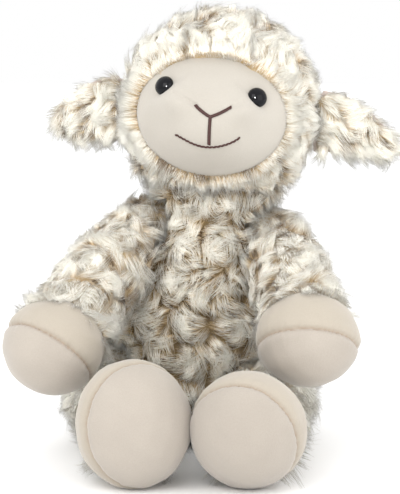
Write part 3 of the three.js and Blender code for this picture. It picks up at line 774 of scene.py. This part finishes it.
def line_gap(x, z, start, end):
    """How far a place on the face is from a line."""
    run = np.subtract(end, start)
    share = np.clip(((x - start[0]) * run[0] + (z - start[1]) * run[1]) / (run @ run), 0, 1)
    return np.hypot(x - start[0] - share * run[0], z - start[1] - share * run[1])


def folds(x, z):
    """The cheeks, which stand in front of each eye's inner, lower edge, and the creases that run
    from the nose to the eyes."""
    rise = 0
    for name, side in (("right", -1), ("left", 1)):
        eye_x, eye_z = EYE_SPOTS[name]
        dx, dz = x - eye_x, z - eye_z
        across, down, out = side * CHEEK["across"], CHEEK["down"], CHEEK["out"]
        wall = 1 / (1 + np.exp(-(-dx * across - dz * down - CHEEK["wall"]) / CHEEK["edge"]))
        hill_x, hill_z = dx + out * across, dz + out * down
        hill = np.exp(-(hill_x ** 2 + hill_z ** 2) / CHEEK["spread"] ** 2)
        rise = rise + CHEEK["rise"] * hill * wall
        inner = (eye_x - side * 6.5, eye_z - 2.5)
        gap = line_gap(x, z, NOSE[name], inner)
        rise = rise - CREASE["depth"] * np.exp(-(gap / CREASE["width"]) ** 2)
    bridge = np.exp(-((x - 0.5) / 9.0) ** 2) * np.clip((z - 2) / 6, 0, 1)
    return rise + 1.0 * bridge * np.exp(-((z - 10) / 12.0) ** 2)


def face_place(x, z, out=0.0):
    """A place on the face's cloth, in metres."""
    forward = face_forward(x, z) + folds(x, z) + out
    return HEAD @ (Vector((x, -forward, z)) * MM)


def face_normal(x, z, step=0.6):
    across = face_place(x + step, z) - face_place(x - step, z)
    upward = face_place(x, z + step) - face_place(x, z - step)
    return across.cross(upward).normalized()


def eye_frame(x, z):
    """Where an eye sits: its own Z is the way out of the smooth face."""
    step = 2.5

    def at(x, z):
        return HEAD @ (Vector((x, -float(face_forward(x, z)), z)) * MM)

    out = (at(x + step, z) - at(x - step, z)).cross(at(x, z + step) - at(x, z - step)).normalized()
    turn = out.to_track_quat("Z", "Y").to_matrix().to_4x4()
    return Matrix.Translation(at(x, z) + out * EYE["seat"] * MM) @ turn


def thickened(name, mesh):
    """A sheet of velour, given its wall on the inner side."""
    thing = shown(f"{name}_sheet", mesh)
    wall = thing.modifiers.new("Wall", "SOLIDIFY")
    wall.thickness = WALL * MM
    wall.offset = -1
    made = plain(thing, f"{name}_velour")
    bpy.data.objects.remove(thing)
    made.data.shade_smooth()
    return made


def stuffed(mesh, from_seam):
    """Where a closed cloth comes to rest when stuffing presses it outwards and its seam is drawn
    tight. It is worked out at ten times its size, at which the cloth bends as it does here."""
    start = places_of(mesh)
    thing = shown(mesh.name, mesh)
    mesh.vertices.foreach_set("co", (start * CLOTH["scale"]).ravel())
    drawn = thing.vertex_groups.new(name="seam")
    for index, gap in enumerate(from_seam):
        if gap < CLOTH["near"]:
            drawn.add([index], math.exp(-(gap / CLOTH["spread"]) ** 2), "REPLACE")
    cloth = thing.modifiers.new("Stuffed", "CLOTH").settings
    cloth.use_pressure = True
    cloth.uniform_pressure_force = CLOTH["pressure"]
    cloth.effector_weights.gravity = 0
    cloth.vertex_group_shrink = "seam"
    cloth.shrink_max = CLOTH["shrink"]
    for step in range(1, CLOTH["frames"] + 1):
        bpy.context.scene.frame_set(step)
    settled = plain(thing, f"{mesh.name}_settled")
    rest = places_of(settled.data) / CLOTH["scale"]
    bpy.data.objects.remove(thing)
    bpy.data.objects.remove(settled)
    bpy.context.scene.frame_set(1)
    far = from_seam > CLOTH["far"]
    rest *= np.linalg.norm(start[far], axis=1).mean() / np.linalg.norm(rest[far], axis=1).mean()
    moved = rest - start
    reach = np.linalg.norm(moved, axis=1, keepdims=True)
    return start + moved * np.minimum(1, CLOTH["most"] * MM / np.maximum(reach, 1e-9))


def sewn_relief(places, off, round_way, chances):
    """How far sewn cloth stands out: the seam's groove and lips, its puckers, and slow waves."""
    lips = np.exp(-((np.abs(off) - GROOVE["lip_out"]) / GROOVE["lip_width"]) ** 2)
    groove = -GROOVE["depth"] * np.exp(-(off / GROOVE["width"]) ** 2) + GROOVE["lip"] * lips
    pucker, waves = 0, 0
    for count in (17, 26, 41):
        phase, weight = chances.uniform(0, 2 * math.pi), chances.uniform(0.5, 1)
        pucker = pucker + weight * np.sin(count * round_way + phase)
    groove = groove + GROOVE["pucker"] * pucker * np.exp(
        -(np.abs(off) / GROOVE["pucker_width"]) ** 2)
    for size in (22, 14, 9):
        turns = places @ unit(chances.normal(size=3)) * 2 * math.pi / size
        waves = waves + (size / 22) * np.sin(turns + chances.uniform(0, 6))
    return groove + 0.2 * waves


def stuffed_end(name, spec):
    """The two velour pieces of a paw or foot: one round form with a sewn groove round it, cut open
    where it joins the limb."""
    centre = np.array(spec["centre"])
    seam = Vector(spec["seam"]).normalized()
    turn = np.array(Matrix.Rotation(spec["pitch"], 3, "X"))
    body = bmesh.new()
    bmesh.ops.create_icosphere(body, subdivisions=5, radius=1)
    places = (np.array([v.co for v in body.verts]) * spec["radii"]) @ turn.T
    for vert, place in zip(body.verts, places):
        vert.co = Vector(place) * MM
    ball = bpy.data.meshes.new(f"{name}_ball")
    body.to_mesh(ball)
    places = stuffed(ball, np.abs(places @ np.array(seam) - spec["offset"])) / MM
    for vert, place in zip(body.verts, places):
        vert.co = place
    bmesh.ops.subdivide_edges(body, edges=body.edges[:], cuts=1, use_grid_fill=True)
    for _ in range(2):
        bmesh.ops.smooth_vert(body, verts=body.verts[:], factor=0.5, use_axis_x=True,
                              use_axis_y=True, use_axis_z=True)
    body.normal_update()
    places = np.array([v.co for v in body.verts])
    ways = np.array([v.normal for v in body.verts])
    off = places @ np.array(seam) - spec["offset"]
    first = seam.orthogonal().normalized()
    second = seam.cross(first)
    round_way = np.arctan2(places @ np.array(second), places @ np.array(first))
    relief = sewn_relief(places, off, round_way, np.random.default_rng(spec["seed"]))
    places = places + ways * relief[:, None] + centre
    places[:, 2] = np.maximum(places[:, 2], 0.25)
    # A painted shade along the seam's groove, broken into dashes like stitches
    sewn = np.exp(-(off / GROOVE["shade_width"]) ** 2) * (0.6 + 0.25 * np.sin(round_way * 130))
    layer = body.verts.layers.float.new("sewn")
    for vert, place, share in zip(body.verts, places, sewn):
        vert.co = Vector(place) * MM
        vert[layer] = share
    cut = Vector(spec["cut"]) * MM
    bmesh.ops.bisect_plane(body, geom=[*body.verts, *body.edges, *body.faces], plane_co=cut,
                           plane_no=Vector(spec["reach"]), clear_inner=True)
    made = []
    seam_place = (Vector(centre) + seam * spec["offset"]) * MM
    for part, inner in (("sole", True), ("upper", False)):
        half = body.copy()
        bmesh.ops.bisect_plane(half, geom=[*half.verts, *half.edges, *half.faces],
                               plane_co=seam_place, plane_no=seam,
                               clear_inner=inner, clear_outer=not inner)
        mesh = bpy.data.meshes.new(f"{name}_{part}")
        half.to_mesh(mesh)
        half.free()
        made.append(thickened(f"{name}_{part}", mesh))
    body.free()
    return made


def sewn_ends(part, limb, spec_of):
    """The pieces of the right and the left paw or foot."""
    pieces = []
    for name in ("right", "left"):
        made = stuffed_end(f"{name}_{part}", spec_of(name))
        for piece, kind, finish in zip(made, ("sole", "upper"), ("sole", "velour")):
            finished(piece, f"{name}_{limb}", (f"{name}_{part}_{kind}",),
                     finishes()[finish])
            pieces.append(piece)
    return pieces


def paw_spec(name):
    spec = PAWS[name]
    root = leaned(spec["side"] * SHOULDER["out"], -SHOULDER["forward"], SHOULDER["height"])
    centre = Vector(spec["centre"])
    elbow = (root + centre) / 2 + Vector((spec["side"] * ARM_BOW, 0, ARM_BOW))
    reach = (centre - elbow).normalized()
    return {"centre": spec["centre"], "radii": spec["radii"], "pitch": 0, "seam": spec["palm"],
            "offset": spec["offset"], "cut": centre - reach * (WRIST_BACK + 3), "reach": reach,
            "seed": 31 + spec["side"]}


def foot_spec(name):
    spec = FEET[name]
    wide, deep, high = FOOT["radii"]
    tipped = math.hypot(high * math.cos(spec["pitch"]), deep * math.sin(spec["pitch"]))
    centre = Vector((spec["across"], -FOOT["forward"], tipped - FOOT["flat"]))
    ankle = Vector((spec["across"], -FOOT["forward"], ANKLE["height"]))
    root = Vector((spec["side"] * HIP["out"], -HIP["forward"], HIP["height"]))
    knee = (root + ankle) / 2
    reach = Vector((ankle.x - knee.x, ankle.y - knee.y, 0)).normalized()
    return {"centre": tuple(centre), "radii": (wide, deep, high), "pitch": spec["pitch"],
            "seam": spec["sole"], "offset": FOOT["offset"],
            "cut": ankle - reach * (ANKLE["back"] + 3), "reach": reach, "seed": 41 + spec["side"]}


# Stitching


def stitches_tree():
    """Short padded stitches along a line of points, each turned by its own run and up."""
    tree, bench, given = new_growth(
        "Padded stitches", {"Length": "Float", "Thickness": "Float", "Finish": "Material"})

    def named(name):
        return bench.made(
            "GeometryNodeInputNamedAttribute", {"Name": name}, data_type="FLOAT_VECTOR")

    stitch = bench.made("GeometryNodeMeshUVSphere", {"Segments": 8, "Rings": 6, "Radius": 0.5})
    size = bench.join(given["Length"], given["Thickness"], given["Thickness"])
    points = bench.made("GeometryNodeMeshToPoints", {"Mesh": given["Geometry"]})
    turn = bench.made("FunctionNodeAlignRotationToVector", {"Vector": named("run")}, axis="X")
    turn = bench.made("FunctionNodeAlignRotationToVector", {
        "Rotation": turn, "Vector": named("up")}, axis="Z", pivot_axis="X")
    laid = bench.made("GeometryNodeInstanceOnPoints", {
        "Points": points, "Instance": stitch, "Rotation": turn, "Scale": size})
    laid = bench.made("GeometryNodeRealizeInstances", {"Geometry": laid})
    laid = bench.made("GeometryNodeSetShadeSmooth", {"Geometry": laid})
    laid = bench.made("GeometryNodeSetMaterial", {"Geometry": laid, "Material": given["Finish"]})
    bench.add("NodeGroupOutput", {0: laid})
    return tree


def smooth_line(corners, step):
    """Evenly spaced places along a smooth curve through the corners."""
    corners = np.array(corners, float)
    known = np.linspace(0, 1, len(corners))
    fine = np.linspace(0, 1, 400)
    if len(corners) > 2:
        fitted = [np.polyval(np.polyfit(known, corners[:, k], min(len(corners) - 1, 4)), fine)
                  for k in (0, 1)]
    else:
        fitted = [np.interp(fine, known, corners[:, k]) for k in (0, 1)]
    line = np.c_[fitted[0], fitted[1]]
    run = np.r_[0, np.cumsum(np.linalg.norm(np.diff(line, axis=0), axis=1))]
    marks = np.linspace(0, run[-1], max(2, int(run[-1] / step) + 1))
    return np.c_[np.interp(marks, run, line[:, 0]), np.interp(marks, run, line[:, 1])]


def stitched(name, lines, sizes, crossways):
    """Stitching laid on the face along each line; crossways for a satin stitch."""
    places, runs, ups = [], [], []
    for line in lines:
        for index, (x, z) in enumerate(line):
            before, after = line[max(index - 1, 0)], line[min(index + 1, len(line) - 1)]
            along = face_place(*after) - face_place(*before)
            up = face_normal(x, z)
            across = up.cross(along).normalized()
            ahead, aside = (0.35, 1) if crossways else (1, 0.25)
            lean = along.normalized() * ahead + across * aside
            places.append(face_place(x, z) + up * sizes["lift"] * MM)
            runs.append(lean)
            ups.append(up)
    mesh = bpy.data.meshes.new(name)
    mesh.from_pydata([tuple(p) for p in places], [], [])
    set_values(mesh, "run", np.array(runs))
    set_values(mesh, "up", np.array(ups))
    holder = shown(name + "_line", mesh)
    made = grown(holder, tree_named("Padded stitches", stitches_tree), {
        "Length": sizes["length"] * MM, "Thickness": sizes["thickness"] * MM,
        "Finish": finishes()["thread"]}, name)
    bpy.data.objects.remove(holder)
    for layer in ("run", "up"):
        if layer in made.data.attributes:
            made.data.attributes.remove(made.data.attributes[layer])
    return made


# Settings


def number_field(label, description, value, **kind):
    return bpy.props.FloatProperty(name=label, description=description, default=value, **kind)


def share_field(label, description, value, low, high):
    return number_field(label, description, value, subtype="FACTOR", min=low, max=high)


def angle_field(label, description, value):
    return number_field(label, description, value, subtype="ANGLE")


def length_field(label, description, value, precision=4):
    return number_field(label, description, value, unit="LENGTH", precision=precision)


def colour_field(label, description, value):
    return bpy.props.FloatVectorProperty(
        name=label, description=description, subtype="COLOR", size=3, min=0, max=1, default=value)


class SheepFurSettings(bpy.types.PropertyGroup):
    """Sizes of the long pile."""
    crowd: number_field("Strands", "Strands per square millimetre", 1.8, min=0.05)
    length: share_field("Length", "Pile length against its usual length", 1.0, 0.2, 2)
    width: length_field("Strand width", "Width of a strand at its root", 0.00032, precision=5)
    lock_spacing: length_field("Lock spacing", "Distance between neighbouring locks", 0.0042)
    curl: angle_field("Curl", "How far a strand bends over", 0.75)
    swirl: share_field("Swirl", "How far strands turn sideways, against each pelt's own", 1.0, 0, 3)
    clump: share_field("Clump", "How far tips draw together, against each pelt's own", 1.0, 0, 3)
    stray: share_field("Stray", "How far locks wander from their lay", 0.14, 0, 1)
    tuck: length_field("Tuck", "How far the pile starts under the edge of smooth cloth", 0.003)
    rim: length_field("Rim", "How far from smooth cloth the pile stands up", 0.009)
    margin: length_field("Margin", "How far the pile runs on under a neighbour", 0.011)


class SheepColourSettings(bpy.types.PropertyGroup):
    """Colours of the toy's cloths and threads."""
    tip: colour_field("Fur tips", "Colour of the pile's tips", (0.745, 0.727, 0.672))
    cream: colour_field("Fur cream", "Root colour where the pile is palest", (0.69, 0.645, 0.565))
    tan: colour_field("Fur tan", "Root colour where the pile is pale", (0.50, 0.36, 0.185))
    brown: colour_field("Fur brown", "Root colour where the pile is dark", (0.14, 0.095, 0.055))
    face: colour_field("Face", "Velour of the face", (0.49, 0.458, 0.405))
    face_shade: colour_field("Face shade", "Mottle of the face", (0.425, 0.39, 0.34))
    velour: colour_field("Velour", "Tops of the paws and feet", (0.445, 0.395, 0.325))
    velour_shade: colour_field("Velour shade", "Mottle of the velour", (0.385, 0.34, 0.28))
    sole: colour_field("Sole", "Paw and foot soles", (0.435, 0.388, 0.335))
    sole_shade: colour_field("Sole shade", "Mottle of the soles", (0.36, 0.32, 0.275))
    lining: colour_field("Ear lining", "Lining of the ears", (0.62, 0.52, 0.47))
    lining_shade: colour_field("Ear lining shade", "Mottle of the lining", (0.50, 0.42, 0.38))
    thread: colour_field("Thread", "Nose and mouth", (0.070, 0.018, 0.014))
    thread_shade: colour_field("Thread shade", "Shade of the thread", (0.030, 0.008, 0.006))


class SheepStageSettings(bpy.types.PropertyGroup):
    """The camera, the floor and the lights."""
    azimuth: angle_field("Azimuth", "How far round the camera stands", math.radians(4))
    elevation: angle_field("Elevation", "How far up the camera stands", math.radians(7))
    distance: number_field("Distance", "From the camera to what it looks at", 1.05, unit="LENGTH")
    lens: number_field("Lens", "Focal length in millimetres", 165.3)
    key: number_field("Key light", "Power of the main soft light", 6.0, unit="POWER")
    fill: number_field("Fill light", "Power of the fill light", 3.6, unit="POWER")
    glint: number_field(
        "Glint", "Power of the small light that shows in the eyes", 24.0, unit="POWER")
    sky: number_field("Sky", "Brightness of the white surroundings", 1.3)


# Operators


def circle(place, radius, height, sides=48):
    """Places round a circle in a frame of its own."""
    return [place @ (Vector((radius * math.cos(turn), radius * math.sin(turn), height)) * MM)
            for turn in [2 * math.pi * side / sides for side in range(sides)]]


def face_ring(share, back, sides=200):
    """Places round the face at a share of its outline, some way behind its cloth."""
    return [face_place(FACE["half_width"] * math.cos(turn) * share + FACE["across"],
                       FACE["half_height"] * math.sin(turn) * share - FACE["drop"], -back)
            for turn in [2 * math.pi * side / sides for side in range(sides)]]


class SHEEP_OT_torso(bpy.types.Operator):
    """Curled fur on the torso and its seat"""
    bl_idname = "sheep.torso"
    bl_label = "Torso Fur"

    def execute(self, context):
        pelt("torso", ["torso_front_panel", "torso_back_right_panel", "torso_back_left_panel",
                       "seat_panel"], seed=1)
        return {"FINISHED"}


class SHEEP_OT_head(bpy.types.Operator):
    """Curled fur on the head, laid away from the face"""
    bl_idname = "sheep.head"
    bl_label = "Head Fur"

    def execute(self, context):
        pelt("head", ["head_right_panel", "head_left_panel", "head_crown_panel"], seed=2)
        return {"FINISHED"}


class SHEEP_OT_ears(bpy.types.Operator):
    """Furry ears with a smooth lining"""
    bl_idname = "sheep.ears"
    bl_label = "Ears"

    def execute(self, context):
        for seed, side in ((3, "right"), (4, "left")):
            pelt(f"{side}_ear", [f"{side}_ear_fur_panel"], seed=seed)
            lining = smoothed_solid([f"{side}_ear_lining_panel"], 0.9, 5, f"{side}_ear_lining")
            lining.data.shade_smooth()
            finished(lining, f"{side}_ear", (f"{side}_ear_lining_panel",),
                     finishes()["lining"])
        return {"FINISHED"}


class SHEEP_OT_limbs(bpy.types.Operator):
    """Curled fur on the arms and legs"""
    bl_idname = "sheep.limbs"
    bl_label = "Limb Fur"

    def execute(self, context):
        for seed, limb in enumerate(("right_arm", "left_arm", "right_leg", "left_leg"), 5):
            pelt(limb, [f"{limb}_sleeve"], seed=seed)
        return {"FINISHED"}


class SHEEP_OT_tail(bpy.types.Operator):
    """A short furry tail"""
    bl_idname = "sheep.tail"
    bl_label = "Tail"

    def execute(self, context):
        pelt("tail", ["tail"], seed=9)
        return {"FINISHED"}


class SHEEP_OT_face(bpy.types.Operator):
    """The smooth face, with a wide muzzle and a fold beside each eye"""
    bl_idname = "sheep.face"
    bl_label = "Face"

    def execute(self, context):
        rings = 84
        outline = [(ring / rings, 1.2 * max(0, (ring / rings - 0.95) / 0.05) ** 2)
                   for ring in range(1, rings + 1)]
        body = bmesh.new()
        middle = body.verts.new(face_place(FACE["across"], -FACE["drop"]))
        tucked_edge = ((1.005, 2.6), (0.995, 5.0))
        loops = [[body.verts.new(place) for place in face_ring(share, back)]
                 for share, back in (*outline, *tucked_edge)]
        sides = len(loops[0])
        for side in range(sides):
            after = (side + 1) % sides
            body.faces.new((middle, loops[0][side], loops[0][after]))
            for inner, outer in zip(loops, loops[1:]):
                body.faces.new((inner[side], outer[side], outer[after], inner[after]))
        bmesh.ops.recalc_face_normals(body, faces=body.faces)
        if sum(face.normal.y for face in body.faces) > 0:
            bmesh.ops.reverse_faces(body, faces=body.faces)
        mesh = bpy.data.meshes.new("face_sheet")
        body.to_mesh(mesh)
        body.free()
        face = thickened("face", mesh)
        finished(face, "head", ("face_panel",), finishes()["face"])
        return {"FINISHED"}


class SHEEP_OT_eyes(bpy.types.Operator):
    """Glossy black eyes on short stems"""
    bl_idname = "sheep.eyes"
    bl_label = "Eyes"

    def execute(self, context):
        for name, spot in EYE_SPOTS.items():
            profile = [(EYE["radius"] * math.cos(turn), EYE["dome"] * math.sin(turn))
                       for turn in np.linspace(0, math.pi / 2, 14)][:-1]
            profile = [(EYE["stem"], -EYE["length"]), (EYE["stem"], -0.8),
                       (EYE["radius"] - EYE["lip"], -0.7), *profile]
            place = eye_frame(*spot)
            body = bmesh.new()
            loops = [[body.verts.new(corner) for corner in circle(place, radius, height)]
                     for radius, height in profile]
            sides = len(loops[0])
            for lower, upper in zip(loops, loops[1:]):
                for k in range(sides):
                    after = (k + 1) % sides
                    body.faces.new((lower[k], lower[after], upper[after], upper[k]))
            top = body.verts.new(place @ (Vector((0, 0, EYE["dome"])) * MM))
            for k in range(sides):
                body.faces.new((loops[-1][k], loops[-1][(k + 1) % sides], top))
            body.faces.new(list(reversed(loops[0])))
            bmesh.ops.recalc_face_normals(body, faces=body.faces)
            mesh = bpy.data.meshes.new(f"{name}_eye_dome")
            body.to_mesh(mesh)
            body.free()
            mesh.shade_smooth()
            finished(shown(f"{name}_eye_dome", mesh), "head", (f"{name}_eye",),
                     finishes()["eye"])
        return {"FINISHED"}


class SHEEP_OT_embroidery(bpy.types.Operator):
    """The satin-stitched nose and the back-stitched mouth"""
    bl_idname = "sheep.embroidery"
    bl_label = "Nose And Mouth"

    def execute(self, context):
        middle, step = NOSE["middle"], NOSE_STITCH["step"]
        lines = []
        for x, z in (NOSE["right"], NOSE["left"]):
            sag = ((x + middle[0]) / 2, (z + middle[1]) / 2 - 0.5)
            lines.append(smooth_line([(x, z), sag, middle], step))
        lines.append(smooth_line([middle, NOSE["foot"]], step))
        nose = stitched("nose_stitches", lines, NOSE_STITCH, True)
        finished(nose, "head", ("nose_embroidery",))
        line = smooth_line(MOUTH, MOUTH_STITCH["step"])
        mouth = stitched("mouth_stitches", [line], MOUTH_STITCH, False)
        finished(mouth, "head", ("mouth_embroidery",))
        return {"FINISHED"}


class SHEEP_OT_paws(bpy.types.Operator):
    """Stuffed velour paws with a sewn seam across each"""
    bl_idname = "sheep.paws"
    bl_label = "Paws"

    def execute(self, context):
        for piece in sewn_ends("paw", "arm", paw_spec):
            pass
        return {"FINISHED"}


class SHEEP_OT_feet(bpy.types.Operator):
    """Stuffed velour feet with a sewn-in sole"""
    bl_idname = "sheep.feet"
    bl_label = "Feet"

    def execute(self, context):
        for piece in sewn_ends("foot", "leg", foot_spec):
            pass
        return {"FINISHED"}


class SHEEP_OT_inside(bpy.types.Operator):
    """Finishes for what is inside: stuffing, pellet bag and eye washers"""
    bl_idname = "sheep.inside"
    bl_label = "Inside"

    def execute(self, context):
        look = finishes()
        inside = {"stuffing": look["stuffing"], "washer": look["washer"], "bean_bag": look["bag"]}
        for name, thing in frame["nodes"].items():
            finish = next((inside[end] for end in inside if name.endswith(end)), None)
            if finish is None:
                continue
            if not thing.material_slots:
                thing.data.materials.append(finish)
            for slot in thing.material_slots:
                slot.link = "OBJECT"
                slot.material = finish
        return {"FINISHED"}


class SHEEP_OT_stage(bpy.types.Operator):
    """A pale floor, soft light and the camera"""
    bl_idname = "sheep.stage"
    bl_label = "Stage"

    def execute(self, context):
        scene, stage = context.scene, context.scene.sheep_stage
        mesh = bpy.data.meshes.new("floor")
        half = 6.0
        mesh.from_pydata([(-half, -half, 0), (half, -half, 0), (half, half, 0), (-half, half, 0)],
                         [], [(0, 1, 2, 3)])
        floor = shown("floor", mesh)
        bench = Finish("Pale floor")
        grain = bench.noise(bench.place(), 3.0)
        tone = bench.mix(grain, (0.965, 0.965, 0.965, 1), (0.985, 0.985, 0.985, 1))
        mesh.materials.append(bench.dressed(tone, Roughness=0.9, Specular_IOR_Level=0.1))

        world = scene.world or bpy.data.worlds.new("Studio")
        scene.world = world
        world.use_nodes = True
        sky = world.node_tree.nodes["Background"]
        sky.inputs["Color"].default_value = (1, 1, 1, 1)
        view = Bench(world.node_tree)
        seen = view.out(view.add("ShaderNodeLightPath"), "Is Camera Ray")
        world.node_tree.links.new(view.between(seen, stage.sky, 1.0), sky.inputs["Strength"])

        for name, (place, size) in LIGHTS.items():
            light = bpy.data.lights.new(f"{name}_light", "AREA")
            light.shape = "SQUARE"
            light.size = size
            light.energy = getattr(stage, name)
            lamp = bpy.data.objects.new(f"{name}_light", light)
            lamp.location = place
            lamp.rotation_euler = (AIM - Vector(place)).to_track_quat("-Z", "Y").to_euler()
            lamp.visible_diffuse = name != "glint"
            scene.collection.objects.link(lamp)

        a, e = stage.azimuth, stage.elevation
        back = Vector((math.sin(a) * math.cos(e), -math.cos(a) * math.cos(e), math.sin(e)))
        lens = bpy.data.cameras.new("camera")
        lens.sensor_width = 36
        lens.sensor_fit = "HORIZONTAL"
        lens.lens = stage.lens
        camera = bpy.data.objects.new("camera", lens)
        camera.location = AIM + back * stage.distance
        camera.rotation_euler = (-back).to_track_quat("-Z", "Y").to_euler()
        scene.collection.objects.link(camera)
        scene.camera = camera
        scene.view_settings.view_transform = "Standard"
        return {"FINISHED"}


class SHEEP_PT_panel(bpy.types.Panel):
    """The sheep's pieces and settings"""
    bl_idname = "SHEEP_PT_panel"
    bl_label = "Plush Sheep"
    bl_space_type = "VIEW_3D"
    bl_region_type = "UI"
    bl_category = "Plush Sheep"

    def draw(self, context):
        for operator in OPERATORS:
            self.layout.operator(operator.bl_idname)
        scene = context.scene
        for group in (scene.sheep_fur, scene.sheep_colours, scene.sheep_stage):
            for field in group.__annotations__:
                self.layout.prop(group, field)


OPERATORS = (SHEEP_OT_stage, SHEEP_OT_inside, SHEEP_OT_torso, SHEEP_OT_head, SHEEP_OT_ears,
             SHEEP_OT_limbs, SHEEP_OT_tail, SHEEP_OT_face, SHEEP_OT_eyes, SHEEP_OT_embroidery,
             SHEEP_OT_paws, SHEEP_OT_feet)
CLASSES = (SheepFurSettings, SheepColourSettings, SheepStageSettings, *OPERATORS, SHEEP_PT_panel)


def register():
    for kind in CLASSES:
        bpy.utils.register_class(kind)
    bpy.types.Scene.sheep_fur = bpy.props.PointerProperty(type=SheepFurSettings)
    bpy.types.Scene.sheep_colours = bpy.props.PointerProperty(type=SheepColourSettings)
    bpy.types.Scene.sheep_stage = bpy.props.PointerProperty(type=SheepStageSettings)


def unregister():
    del bpy.types.Scene.sheep_fur
    del bpy.types.Scene.sheep_colours
    del bpy.types.Scene.sheep_stage
    for kind in reversed(CLASSES):
        bpy.utils.unregister_class(kind)


def main():
    register()
    for operator in OPERATORS:
        group, name = operator.bl_idname.split(".")
        getattr(getattr(bpy.ops, group), name)()


if __name__ == "__main__":
    main()
